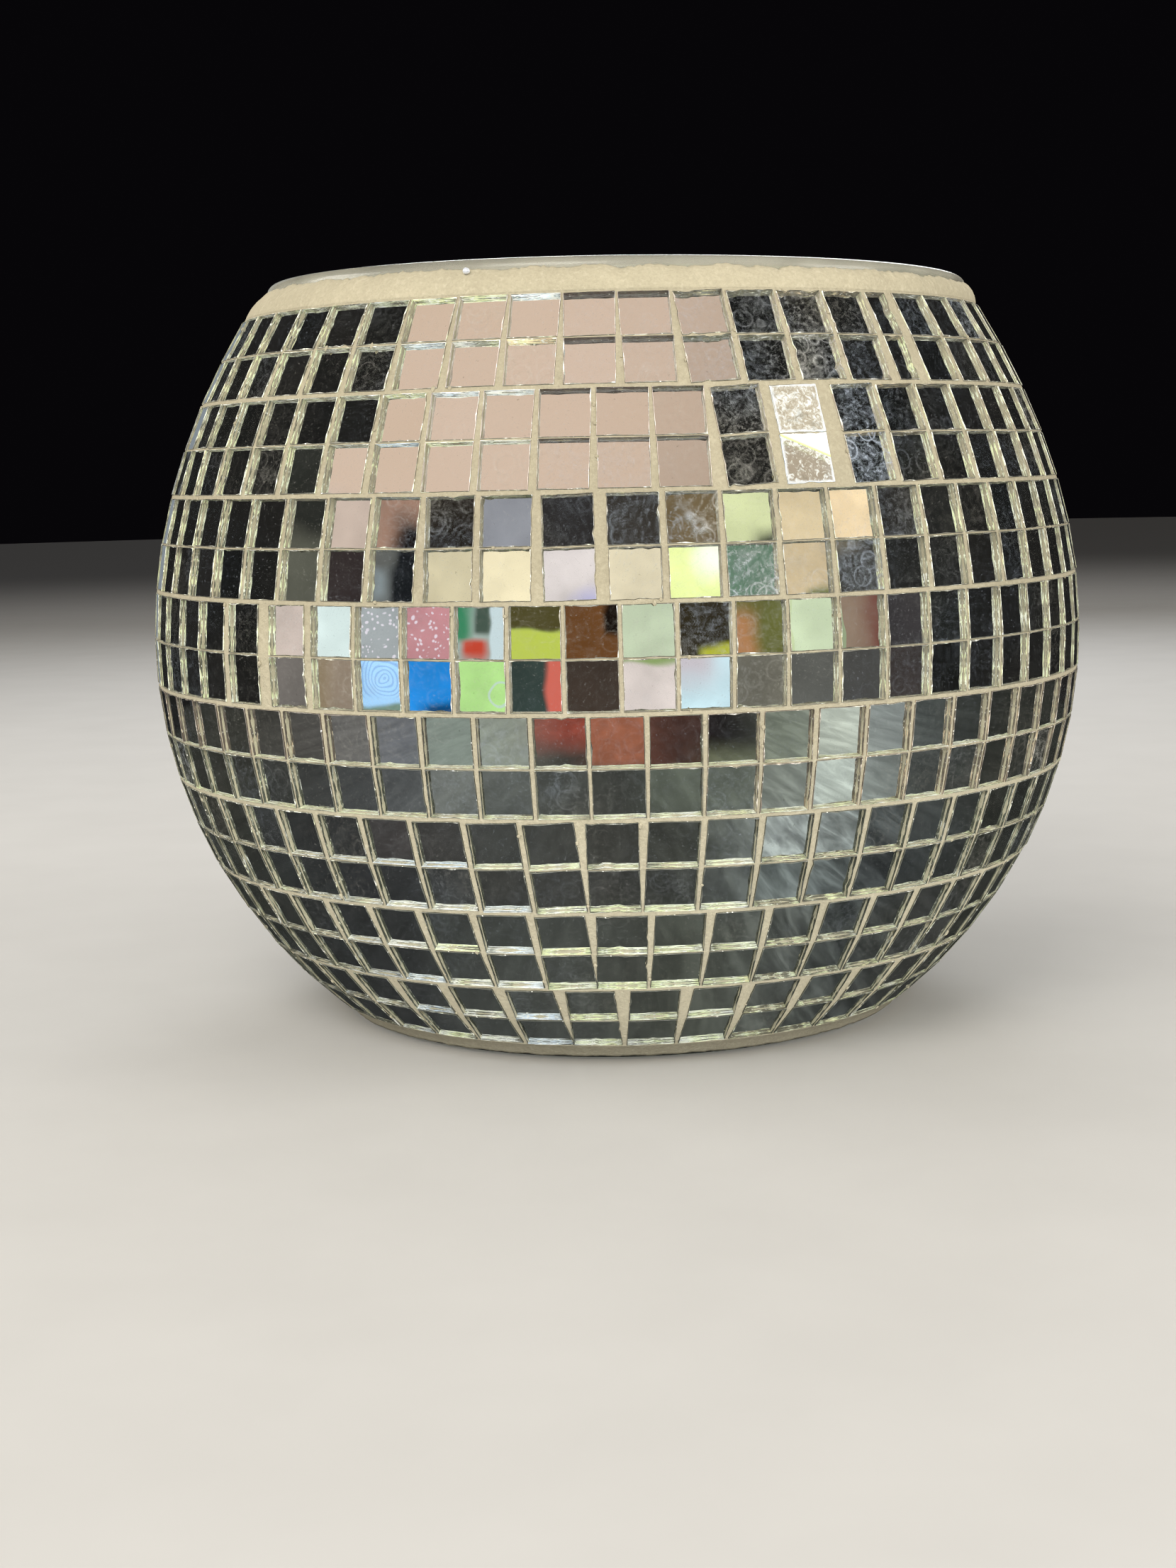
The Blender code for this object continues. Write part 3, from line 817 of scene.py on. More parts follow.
def build_tiles(name, tiles):
    """The glass slabs of one strip or cut piece: clear face, silvered back, cut edges."""
    # heights under the face and unevenness of the rings up a tile's sides
    levels = (-TILE_THICK, -TILE_THICK * 0.62, -TILE_THICK * 0.30, -0.09, 0.0)
    unevenness = (0.03, 0.07, 0.07, 0.03)
    points, faces, slots, edge_place, on_tile = [], [], [], [], []
    per_face = {key: [] for key in ("haze", "rand", "glued", "gleam", "hue", "pale_reflection")}
    for tile in tiles:
        rnd, outline = tile.rnd, tile.outline
        count, base = len(outline), len(points)
        seed = rnd.uniform(0, 90)
        lengths = np.hypot(*(np.roll(outline, -1, 0) - outline).T)
        run = np.concatenate([[0.0], np.cumsum(lengths)])
        for level, rough in zip(levels, unevenness):
            inset = np.array([rnd.uniform(0, rough) for _ in range(count)])
            if level > -TILE_THICK:
                wave = [rnd.uniform(-rough, rough) * 0.5 for _ in range(count)]
                level = level + np.array(wave)
            points.extend(tile.place(tile.shrunk(inset), level))
        # the arris is nibbled here and there
        nibble = np.array([
            0.05 + rnd.uniform(0, 0.07) + (rnd.uniform(0.08, 0.22) if rnd.random() > 0.86 else 0)
            for _ in range(count)
        ])
        face_outline = tile.shrunk(nibble)
        points.extend(tile.place(face_outline, 0.0))

        faces.append([base + i for i in range(count)])
        edge_place += [(0.0, 0.0, seed)] * count
        for i_level in range(4):
            low, high = base + i_level * count, base + (i_level + 1) * count
            under, over = levels[i_level], levels[i_level + 1]
            for i in range(count):
                j = (i + 1) % count
                faces.append([low + i, high + i, high + j, low + j])
                start, end = run[i], run[i + 1]
                edge_place += [(start, under, seed), (start, over, seed)]
                edge_place += [(end, over, seed), (end, under, seed)]
        faces.append([base + 4 * count + i for i in reversed(range(count))])
        edge_place += [(0.0, 0.0, seed)] * count
        slots += [SILVER_SLOT] + [EDGE_SLOT] * 4 * count + [FACE_SLOT]
        on_tile += [(0.0, 0.0, 0.0)] * 17 * count
        mark = 1.0 + tile.lower if tile.glued else 0.0
        on_tile += [(x, y, mark) for x, y in face_outline[::-1]]

        sides = [tile.side_look(side) for side in range(4)]
        looks = zip(*(sides[min(3, i * 4 // count)] for i in range(count)))
        for key, look in zip(("gleam", "hue", "pale_reflection"), looks):
            per_face[key] += [0.0, *(look * 4), 0.0]
        same = (("haze", tile.haze), ("rand", rnd.random()), ("glued", tile.glued))
        for key, value in same:
            per_face[key] += [value] * (4 * count + 2)
    obj = new_object(name, points, faces, TILE_MATERIALS, slots)
    for key, values in per_face.items():
        add_attribute(obj, key, values)
    add_attribute(obj, "edge_place", edge_place, "CORNER")
    add_attribute(obj, "on_tile", on_tile, "CORNER")
    return obj


TILES = all_tiles()
by_piece = {}
for tile in TILES:
    by_piece.setdefault(tile.piece, []).append(tile)
for piece, tiles in by_piece.items():
    slabs = build_tiles(piece + "_tiles", tiles)
    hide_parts(piece)


# --------------------------------------------------------------------------
# Grout: one closed piece to each strip, with a pocket for every tile
# --------------------------------------------------------------------------
def relief_points(width, height, tiles_at):
    """Staggered points of the unrolled strip that are clear of its edges and of the tiles."""
    step, clear = 0.62, 0.12
    columns, rows = int(width / step), int(height / step)
    x, y = np.meshgrid(
        (np.arange(1, columns) + 0.5) * width / (columns + 1), np.arange(1, rows) * height / rows
    )
    x = x + (np.arange(x.shape[0]) % 2)[:, None] * step / 2
    x, y = x.ravel(), y.ravel()
    keep = (x > 0.2) & (x < width - 0.2) & (y > 0.15) & (y < height - 0.15)
    for tile_x, tile_y in tiles_at:
        beside = (x < tile_x.min() - clear) | (x >= tile_x.max() + clear)
        keep &= beside | (y <= tile_y.min() - clear) | (y >= tile_y.max() + clear)
    return list(zip(x[keep].tolist(), y[keep].tolist()))


def sheet(strip):
    """The strip's unrolled surface in triangles: those between the tiles and those under them."""
    tiles = [tile for tile in TILES if tile.strip == strip]
    top, bottom = 2 * strip * ROW_PITCH, (2 * strip + 2) * ROW_PITCH
    height = bottom - top
    per_degree = float(profile_at((top + bottom) / 2)[0]) * math.pi / 180.0
    # the sheet is cut open in the joint nearest to the back
    middles = sorted(tile.azimuth % 360.0 for tile in tiles if tile.lower == 0)
    joints = [(a + b) / 2 for a, b in zip(middles, middles[1:] + middles[:1])]
    start = min(joints, key=lambda azimuth: abs(azimuth - 180.0)) - 360.0
    points, edges, loops, lines, tiles_at = [], [], [], [], []
    for y in (0.0, height):
        first = len(points)
        points += [(360.0 * i / RING_STEPS * per_degree, y) for i in range(RING_STEPS + 1)]
        lines.append(list(range(first, first + RING_STEPS + 1)))
        edges += [(first + i, first + i + 1) for i in range(RING_STEPS)]
    side_steps = 30
    for end in (0, RING_STEPS):
        chain = [lines[0][end]]
        for i in range(1, side_steps):
            chain.append(len(points))
            points.append((points[lines[0][end]][0], height * i / side_steps))
        chain.append(lines[1][end])
        edges += list(zip(chain, chain[1:]))
    for tile in tiles:
        aside, arc = tile.unrolled(grow=0.035)
        x = ((tile.azimuth - start) % 360.0 + aside) * per_degree
        y = arc - top
        loops.append(list(range(len(points), len(points) + len(x))))
        points += list(zip(x.tolist(), y.tolist()))
        tiles_at.append((x, y))
    points += relief_points(360 * per_degree, height, tiles_at)
    new_points, _, new_faces, old_points, _, old_faces = delaunay_2d_cdt(
        [Vector(point) for point in points], edges, loops, 1, 1e-5, True
    )
    flat = np.array([(point.x, point.y) for point in new_points])
    joint, pocket = [], []
    for face, tile_ids in zip(new_faces, old_faces):
        (pocket if tile_ids else joint).append(tuple(face))
    lookup = {old: i for i, ids in enumerate(old_points) for old in ids}
    return {
        "azimuth": (start + flat[:, 0] / per_degree + 180.0) % 360.0 - 180.0,
        "arc": top + flat[:, 1], "joint": joint, "pocket": pocket,
        "start": start, "span": (top, bottom),
        "first": [lookup[i] for i in lines[0]], "second": [lookup[i] for i in lines[1]],
    }


def close_behind(strip_sheet, points, faces, depth):
    """Adds rings at a depth that close the sheet into a solid band."""
    top, bottom = strip_sheet["span"]
    count, rings = sum(len(part) for part in points), []
    angles = 360.0 * np.arange(RING_STEPS) / RING_STEPS
    angles = (strip_sheet["start"] + angles + 180.0) % 360.0 - 180.0
    for arc in (top, (top + bottom) / 2, bottom):
        rings.append(range(count, count + RING_STEPS))
        arcs, depths = np.full(RING_STEPS, arc), np.full(RING_STEPS, depth)
        points.append(on_surface(angles, arcs, depths))
        count += RING_STEPS
    upper, middle, lower = rings
    first, second = strip_sheet["first"], strip_sheet["second"]
    for i in range(RING_STEPS):
        j = (i + 1) % RING_STEPS
        faces.append((first[i], upper[i], upper[j], first[i + 1]))
        faces.append((upper[i], middle[i], middle[j], upper[j]))
        faces.append((middle[i], lower[i], lower[j], middle[j]))
        faces.append((second[i], second[i + 1], lower[j], lower[i]))


def tidy(obj):
    """Weld the cut line, drop unused points, turn all faces outwards."""
    mesh = bmesh.new()
    mesh.from_mesh(obj.data)
    bmesh.ops.remove_doubles(mesh, verts=mesh.verts, dist=2e-7)
    loose = [v for v in mesh.verts if not v.link_faces]
    bmesh.ops.delete(mesh, geom=loose, context="VERTS")
    bmesh.ops.recalc_face_normals(mesh, faces=mesh.faces)
    mesh.to_mesh(obj.data)
    mesh.free()


def crumbs(strip):
    """Small lumps of grout left standing on the joints, partly over the tiles' edges."""
    rnd = random.Random(40 + strip)
    ball = bmesh.new()
    bmesh.ops.create_icosphere(ball, subdivisions=2, radius=1.0)
    shape = [v.co.copy() for v in ball.verts]
    triangles = [[v.index for v in face.verts] for face in ball.faces]
    ball.free()
    tiles = [tile for tile in TILES if tile.strip == strip]
    points, faces = [], []
    for _ in range(46):
        tile = rnd.choice(tiles)
        side = rnd.choice((-1, 1))
        x = side * (tile.width / 2 + rnd.uniform(0.02, 0.32))
        y = rnd.uniform(-tile.height / 2, tile.height / 2)
        if rnd.random() > 0.72:
            x = rnd.uniform(-tile.width / 2, tile.width / 2)
            y = side * (tile.height / 2 + 0.08)
        cos, sin = math.cos(tile.turn), math.sin(tile.turn)
        across, down = x * cos + y * sin, -x * sin + y * cos
        size = rnd.uniform(0.16, 0.42) * (1.3 if rnd.random() > 0.85 else 1.0)
        stretch = rnd.uniform(0.8, 1.7)
        centre = tile.origin + across * tile.across + down * tile.down - 0.16 * tile.out
        base = len(points)
        for spot in shape:
            seed = Vector((rnd.random(), size * 90, base))
            reach = size * (1 + 0.28 * noise.noise(spot * 1.7 + seed))
            lump = spot.x * tile.across + spot.y * stretch * tile.down + spot.z * 0.75 * tile.out
            points.append(centre + reach * lump)
        faces += [tuple(base + i for i in triangle) for triangle in triangles]
    return points, faces


def directed_edges(face):
    return zip(face, face[1:] + face[:1])


def build_grout(strip, strip_sheet):
    azimuth, arc = strip_sheet["azimuth"], strip_sheet["arc"]
    joint, pocket = strip_sheet["joint"], strip_sheet["pocket"]
    surface = on_surface(azimuth, arc, 0.0)
    depth = 0.17 + 0.07 * surface_noise(surface, 0.35, 3)
    depth = depth + 0.035 * surface_noise(surface, 1.7, 2, seed=7.0)
    count = len(azimuth)
    points = [on_surface(azimuth, arc, depth), on_surface(azimuth, arc, np.full(count, POCKET))]
    faces = list(joint) + [tuple(i + count for i in face) for face in pocket]
    # pocket walls stand where a joint triangle meets a pocket triangle
    pocket_edges = {edge for face in pocket for edge in directed_edges(face)}
    for face in joint:
        for a, b in directed_edges(face):
            if (b, a) in pocket_edges:
                faces.append((b, a, a + count, b + count))
    close_behind(strip_sheet, points, faces, BED_BACK)
    lumps, lump_faces = crumbs(strip)
    base = sum(len(part) for part in points)
    points.append(np.array(lumps))
    faces += [tuple(base + i for i in face) for face in lump_faces]
    obj = new_object(f"grout_strip_{strip + 1}", np.concatenate(points), faces, [GROUT])
    tidy(obj)
    return obj


SHEETS = [sheet(i) for i in range(len(STRIPS))]
grouts = [build_grout(i, strip_sheet) for i, strip_sheet in enumerate(SHEETS)]
for i, grout in enumerate(grouts):
    nodes = [f"joint_grout_{i}"] if i else []
    if i in (0, 1, 4):
        nodes.append(f"seam_grout_{i + 1}")
    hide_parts(*nodes)


# --------------------------------------------------------------------------
# The grout bands at the rim and the foot
# --------------------------------------------------------------------------
OUT_TOP = row_axes(0)[1]
OUT_BOTTOM = row_axes(ROWS - 1)[1]


def rim_tilt(azimuth):
    """The lip is a little higher on the left than on the right."""
    return -0.85 * math.sin(math.radians(azimuth))


def rim_section(azimuth):
    """The grout band over the top row: slopes up to a ragged edge on the bare glass."""
    rag = 0.50 * ring_noise(azimuth, 0, 0.16, 4, 3.0)
    rag += 0.26 * ring_noise(azimuth, 0, 0.9, 3, 9.0) + 0.12 * ring_noise(azimuth, 0, 3.1, 2, 4.0)
    rag += rim_tilt(azimuth) + 0.25
    rag -= 0.35 * max(0.0, ring_noise(azimuth, 0, 1.7, 2, 17.0) - 0.25)
    shift = RIM_SHIFT * math.sin(math.radians(azimuth))
    foot = CORNERS[0]
    foot_top = foot - OUT_TOP * 0.18
    head = np.array([RIM_R + 0.55 + shift, RIM_TOP_Z - 3.0 + rag])
    points = []
    steps = 12
    for i in range(steps + 1):
        share = i / steps
        point = head * (1 - share) + foot_top * share
        bulge = 0.52 * math.sin(math.pi * min(1.0, share * 1.05)) ** 0.8
        lump = 0.10 * ring_noise(azimuth, point[1], 0.45, 3, 1.0)
        lump += 0.05 * ring_noise(azimuth, point[1], 1.9, 2, 5.0)
        bulge += lump * math.sin(math.pi * (0.12 + 0.85 * share))
        points.append(point + np.array([0.80, 0.60]) * bulge)
    return points + [
        foot - OUT_TOP * BED_BACK,
        foot - OUT_TOP * BEHIND_COAT,
        np.array([RIM_R + 0.42 + shift * 0.75, RIM_TOP_Z - 6.0]),
        np.array([RIM_R + 0.06 + shift, RIM_TOP_Z - 3.4 + rag]),
        np.array([RIM_R + 0.12 + shift, RIM_TOP_Z - 2.75 + rag]),
    ]


def base_section(azimuth):
    """The grout ring from the lowest row in to the foot."""
    rag = 0.25 * ring_noise(azimuth, 0, 0.25, 4, 13.0)
    head = CORNERS[ROWS] - OUT_BOTTOM * 0.20
    tail = np.array([FOOT_R + 2.1, 0.75 + rag * 0.8])
    points = []
    steps = 8
    for i in range(steps + 1):
        share = i / steps
        point = head * (1 - share) + tail * share
        if 0 < share < 1:
            lump = 0.10 * ring_noise(azimuth, point[1], 0.6, 3, 21.0)
            hollow = 0.25 * math.sin(math.pi * share)
            point = point + np.array([0.69, -0.72]) * (lump - hollow)
        points.append(point)
    return points + [
        np.array([FOOT_R + 1.32, 1.35]),
        np.array([FOOT_R + 2.5, 4.2]),
        CORNERS[ROWS] - OUT_BOTTOM * BEHIND_COAT,
        CORNERS[ROWS] - OUT_BOTTOM * BED_BACK,
    ]


rim_band = lofted("rim_grout_band_relief", rim_section, 900, GROUT_BAND)
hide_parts("rim_grout_band")
base_ring = lofted("base_grout_relief", base_section, 600, GROUT_FOOT)
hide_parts("base_grout_ring")


def build_bead():
    """A bead of clear glue on the rim band's upper edge."""
    centre = Vector(around(-20.3, 78.25, RIM_TOP_Z - 2.65))
    ball = bmesh.new()
    bmesh.ops.create_icosphere(ball, subdivisions=4, radius=0.72)
    for v in ball.verts:
        v.co *= 1 + 0.12 * noise.noise(v.co * 1.1 + Vector((3.0, 1.0, 7.0)))
        v.co.z *= 0.86
        v.co = (v.co + centre) * MM
    for face in ball.faces:
        face.smooth = True
    mesh = bpy.data.meshes.new("glue_bead")
    ball.to_mesh(mesh)
    ball.free()
    mesh.materials.append(make_bead_glue())
    obj = link_object("glue_bead", mesh)
    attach(obj, "root")
    return obj


bead = build_bead()


# --------------------------------------------------------------------------
# The glass bowl, with a smooth wall and a round lip
# --------------------------------------------------------------------------
def smooth_curve(points, spacing=2.4):
    """A Catmull-Rom curve through the points."""
    stations = [np.array(point) for point in (points[0], *points, points[-1])]
    curve = []
    for p0, p1, p2, p3 in zip(stations, stations[1:], stations[2:], stations[3:]):
        count = max(2, int(np.hypot(*(p2 - p1)) / spacing))
        for j in range(count):
            t = j / count
            bend = (2 * p0 - 5 * p1 + 4 * p2 - p3) * t * t + (3 * p1 - p0 - 3 * p2 + p3) * t**3
            curve.append(0.5 * ((2 * p1) + (p2 - p0) * t + bend))
    curve.append(stations[-1])
    return curve


def wall_points(rows, depth):
    """(radius, height) at depths under the faces, at places counted in rows from the top."""
    points = [section_point(row * ROW_PITCH, depth) for row in rows]
    return [(float(radius), float(height)) for radius, height in points]


def bowl_curve():
    """(radius, height) from the inner floor, up and over the lip, down to the underside."""
    inner = [
        (0.02, GLASS_FLOOR), (20.0, GLASS_FLOOR + 0.05), (36.0, GLASS_FLOOR + 0.3),
        (50.0, GLASS_FLOOR + 1.2), (60.0, GLASS_FLOOR + 3.4), (67.5, GLASS_FLOOR + 8.0),
        *wall_points((13.6, 12, 10, 8, 6, 4, 2, 0.4), GLASS_DEPTH + GLASS_WALL),
        (RIM_R - 2 * LIP_R + 0.15, RIM_TOP_Z - 6.2), (RIM_R - 2 * LIP_R, RIM_TOP_Z - 3.4),
    ]
    lip_angles = [math.radians(angle) for angle in range(180, -1, -12)]
    lip_centre = np.array([RIM_R - LIP_R, RIM_TOP_Z - LIP_R])
    lip = [lip_centre + LIP_R * np.array([math.cos(a), math.sin(a)]) for a in lip_angles]
    outer = [
        (RIM_R, RIM_TOP_Z - 3.3), (RIM_R + 0.40, RIM_TOP_Z - 6.2),
        *wall_points((0.05, 2, 4, 6, 8, 10, 12, 14, 15.9), GLASS_DEPTH),
    ]
    foot = [(FOOT_R + 1.3, 1.7), (FOOT_R + 0.75, 0.6), (FOOT_R, 0.0)]
    under = [
        (FOOT_R - 3, 0.0), (FOOT_R - 6, 0.0), (52.0, 0.0), (50.2, 0.5), (46.0, 0.85),
        (36.0, 1.05), (18.0, 1.35), (0.02, 1.40),
    ]
    return np.array(smooth_curve(inner)[:-1] + lip + smooth_curve(outer) + foot + under)


BOWL_RADII, BOWL_HEIGHTS = bowl_curve().T


def bowl_section(azimuth):
    """The bowl's curve, a little uneven and shifted towards the lip."""
    wobble = np.array([
        0.05 * ring_noise(azimuth, z, 0.03, 2, 31.0) if z > 150 else 0.0 for z in BOWL_HEIGHTS
    ])
    near_lip = np.clip((BOWL_HEIGHTS - 149.0) / 8.0, 0, 1)
    radii = BOWL_RADII + wobble * (BOWL_RADII > 60)
    radii = radii + RIM_SHIFT * math.sin(math.radians(azimuth)) * near_lip
    heights = BOWL_HEIGHTS + (rim_tilt(azimuth) - 0.45) * near_lip
    return np.stack([radii, heights], -1)


bowl = lofted(
    "glass_bowl_turned", bowl_section, 192, BOWL, closed=False, tips=(GLASS_FLOOR, 1.40)
)
bowl.data.set_sharp_from_angle(angle=math.radians(45))
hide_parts("glass_bowl")


def build_adhesive():
    """A band behind each strip; each face knows if a tile's back is behind it."""
    points, faces, back = [], [], []
    for strip_sheet in SHEETS:
        azimuth, arc = strip_sheet["azimuth"], strip_sheet["arc"]
        lumps = 0.05 * surface_noise(on_surface(azimuth, arc, 3.0), 0.12, 3, seed=50.0)
        part = [on_surface(azimuth, arc, np.clip(2.93 + lumps, 2.86, 2.98))]
        joint, pocket = strip_sheet["joint"], strip_sheet["pocket"]
        part_faces = joint + pocket
        close_behind(strip_sheet, part, part_faces, BED_BACK + 0.03)
        base = sum(len(ring) for ring in points)
        points += part
        faces += [tuple(base + i for i in face) for face in part_faces]
        closing = len(part_faces) - len(joint) - len(pocket)
        back += [0.0] * len(joint) + [1.0] * len(pocket) + [0.0] * closing
    obj = new_object("tile_adhesive_coat", np.concatenate(points), faces, [ADHESIVE])
    add_attribute(obj, "tile_back", back)
    tidy(obj)
    return obj


coat = build_adhesive()
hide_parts("tile_adhesive")

# --------------------------------------------------------------------------
# Floor
# --------------------------------------------------------------------------
TO_DEGREES = 180 / math.pi
# how the floor looks in the mirrors, a painted reflection with the table's sheen, in rings from
# the bowl outwards:
# inner radius in metres, then stops of azimuth, red, green, blue
OUTER_RING = (
    (-95, 50, 50, 46), (-70, 72, 70, 68), (-57, 102, 100, 99), (-45, 102, 104, 110),
    (-34, 131, 141, 134), (-22, 137, 142, 132), (-11, 62, 58, 54), (0, 156, 97, 75),
    (11, 70, 49, 44), (22, 105, 108, 88), (34, 117, 123, 112), (46, 186, 192, 182),
    (57, 137, 143, 142), (69, 67, 71, 70), (88, 44, 45, 42),
)
# the outermost ring differs from the one inside it at two azimuths
OUTERMOST_CHANGES = {-11: (-11, 134, 64, 53), 22: (22, 27, 22, 24)}
FLOOR_RINGS = (
    (0.0, (
        (-92, 46, 47, 44), (-60, 43, 44, 44), (-41, 49, 50, 50), (-31, 64, 66, 64),
        (-10, 64, 66, 63), (2, 64, 66, 62), (12, 76, 79, 73), (30, 81, 84, 81),
        (44, 61, 64, 63), (70, 56, 56, 54), (88, 44, 45, 42),
    )),
    (0.109, (
        (-92, 46, 47, 44), (-74, 45, 47, 47), (-50, 45, 46, 48), (-31, 59, 60, 60),
        (-21, 63, 63, 61), (-1, 55, 55, 53), (8, 60, 61, 58), (18, 82, 85, 82),
        (28, 110, 117, 116), (38, 96, 102, 102), (48, 54, 57, 58), (88, 44, 45, 42),
    )),
    (0.134, (
        (-92, 46, 47, 44), (-78, 49, 50, 50), (-54, 48, 49, 50), (-43, 62, 59, 59),
        (-22, 69, 70, 68), (-2, 61, 61, 58), (9, 62, 63, 59), (18, 80, 83, 78),
        (30, 160, 167, 165), (41, 136, 143, 142), (51, 70, 74, 75), (88, 44, 45, 42),
    )),
    (0.178, (
        (-90, 50, 50, 46), (-64, 57, 58, 58), (-42, 81, 83, 85), (-31, 105, 108, 105),
        (-21, 95, 98, 95), (-8, 68, 69, 66), (0, 63, 64, 61), (10, 89, 94, 85),
        (21, 96, 101, 93), (32, 122, 127, 121), (42, 184, 192, 185), (53, 123, 129, 127),
        (63, 66, 69, 68), (88, 44, 45, 42),
    )),
    (0.262, OUTER_RING),
    (0.283, tuple(OUTERMOST_CHANGES.get(stop[0], stop) for stop in OUTER_RING)),
)


def mirrored_floor_colour(mat, away):
    """The rings' colours, a painted reflection of the table and its sheen, brushed all over and
    grained towards the right.
    """
    x, y, _ = mat.split(mat.place)
    azimuth = x.math("ARCTAN2", y * -1) * TO_DEGREES
    share = ((azimuth + 120) / 240).clamped()
    near = None
    for radius, stops in FLOOR_RINGS:
        ring = share.ramp(*(((at + 120) / 240, linear(*rgb)) for at, *rgb in stops))
        near = away.rise(radius - 0.008, radius + 0.008).mix(near, ring) if near else ring
    near = near.tinted((1.16, 1.16, 1.16))
    drawn = mat.get("Mapping", mat.place, Scale=(1.0, 0.22, 1.0), Rotation=(0, 0, 0.9))
    brushed = mat.noise(26, drawn, detail=4, rough=0.65, warp=0.6)
    near = near.tinted(brushed.ramp((0.3, 0.80), (0.7, 1.18)))
    drawn = mat.get("Mapping", mat.place, Scale=(1.0, 0.42, 1.0))
    grained = mat.noise(200, drawn, detail=3, rough=0.58, warp=0.5)
    strong = near.tinted(grained.ramp((0.36, 0.50), (0.50, 0.92), (0.64, 1.75)))
    weak = near.tinted(grained.ramp((0.36, 0.90), (0.64, 1.12)))
    amount = share.ramp((0.50, 0.12), (0.58, 0.45), (0.64, 1.0), (0.72, 0.8), (0.76, 0.15))
    amount = amount * away.ramp((0.165, 1.0), (0.200, 0.22))
    return amount.mix(weak, strong)


def make_floor():
    """Pale and plain to the camera near the bowl, with a painted pool of light that darkens to
    near black further out; in mirrors and glass a dimmer floor that ends near by.
    """
    mat = new_material("pale_floor")
    away = mat.get("VectorMath", mat.place, operation="LENGTH").out("Value")
    pale = mat.noise(30, detail=3).mix((0.51, 0.505, 0.49), (0.56, 0.555, 0.54))
    # painted pool of light: the pale colour fades to near black away from the bowl
    seen = (away * 0.25).ramp((0.06, 1.0), (0.62, 0.0), interpolation="EASE")
    pale = seen.mix((0.05, 0.05, 0.052), pale)
    lit = mat.principled(pale, 0.75, Specular_IOR_Level=0.1)
    # the floor glows with these colours for mirror and glass rays: a painted reflection, not lit
    # by the lamps
    dim = mat.get("Emission", Color=mirrored_floor_colour(mat, away))
    mirrored = away.rise(0.455, 0.475).mix_shader(dim, mat.transparent())
    path = mat.get("LightPath")
    by_mirror = path.out("Is Glossy Ray").max(path.out("Is Transmission Ray"))
    by_mirror = by_mirror * path.out("Diffuse Depth").math("LESS_THAN", 0.5)
    beyond_foot = away.above(0.058)
    return mat.finish((by_mirror * beyond_foot).mix_shader(lit, mirrored))


bpy.ops.mesh.primitive_circle_add(
    vertices=128, radius=4.0, fill_type="NGON", location=(0, 0, -0.00005)
)
floor = bpy.context.object
floor.name = "floor"
floor.data.materials.append(make_floor())

# --------------------------------------------------------------------------
# World: what the mirrors show
# --------------------------------------------------------------------------
# four rows of plain cards standing in front: elevations of the bottom and the top,
# then azimuth of each card's left edge, red, green, blue
CARD_ROWS = (
    (18.5, 27.5, (
        (-95, 42, 43, 40), (-78, 200, 180, 169), (-64, 163, 129, 113), (-50, 40, 35, 31),
        (-34.5, 147, 148, 157), (-19, 48, 46, 46), (-3, 57, 53, 49), (12.4, 112, 96, 71),
        (27.5, 212, 218, 170), (42, 224, 203, 166), (56, 246, 219, 179), (69.6, 45, 43, 41),
        (83, 38, 38, 36),
    )),
    (8.5, 18.5, (
        (-95, 88, 88, 79), (-76, 51, 44, 44), (-62, 101, 102, 100), (-48, 212, 200, 169),
        (-33, 246, 232, 197), (-18, 221, 211, 211), (-3, 230, 217, 189), (12, 245, 256, 175),
        (26.4, 102, 131, 111), (40.5, 207, 186, 152), (54, 63, 61, 58), (67.5, 36, 36, 35),
    )),
    (-2.0, 8.5, (
        (-95, 206, 189, 182), (-78, 219, 234, 234), (-64.5, 164, 169, 173),
        (-51.6, 198, 140, 147), (-39, 159, 173, 168), (-32.3, 205, 226, 232),
        (-26, 182, 200, 103), (-13, 105, 69, 40), (0, 196, 208, 181), (13, 50, 44, 31),
        (26, 136, 122, 84), (32.4, 103, 105, 55), (39, 205, 219, 174), (45.3, 214, 228, 194),
        (52, 145, 156, 126), (58.7, 140, 120, 105), (65, 58, 55, 57), (78, 34, 35, 34),
    )),
    (-13.5, -2.0, (
        (-95, 115, 109, 106), (-78, 145, 129, 114), (-64.5, 176, 223, 268),
        (-51.6, 36, 140, 227), (-39, 186, 232, 148), (-26, 54, 66, 63), (-13, 63, 53, 47),
        (0, 224, 211, 208), (13, 212, 240, 252), (26, 109, 106, 97), (39, 92, 92, 89),
        (52, 73, 72, 71), (65, 60, 54, 53), (78, 26, 26, 25),
    )),
)
# soft spots on the cards: azimuth, elevation, reach, linear colour
SPOTS = (
    (-10.1, 15.1, 0.55, (0.36, 0.38, 0.85)),
    (19.6, 15.9, 0.5, (1.3, 1.4, 1.25)),
    (-57.6, 12.6, 0.7, (0.17, 0.22, 0.28)),
)
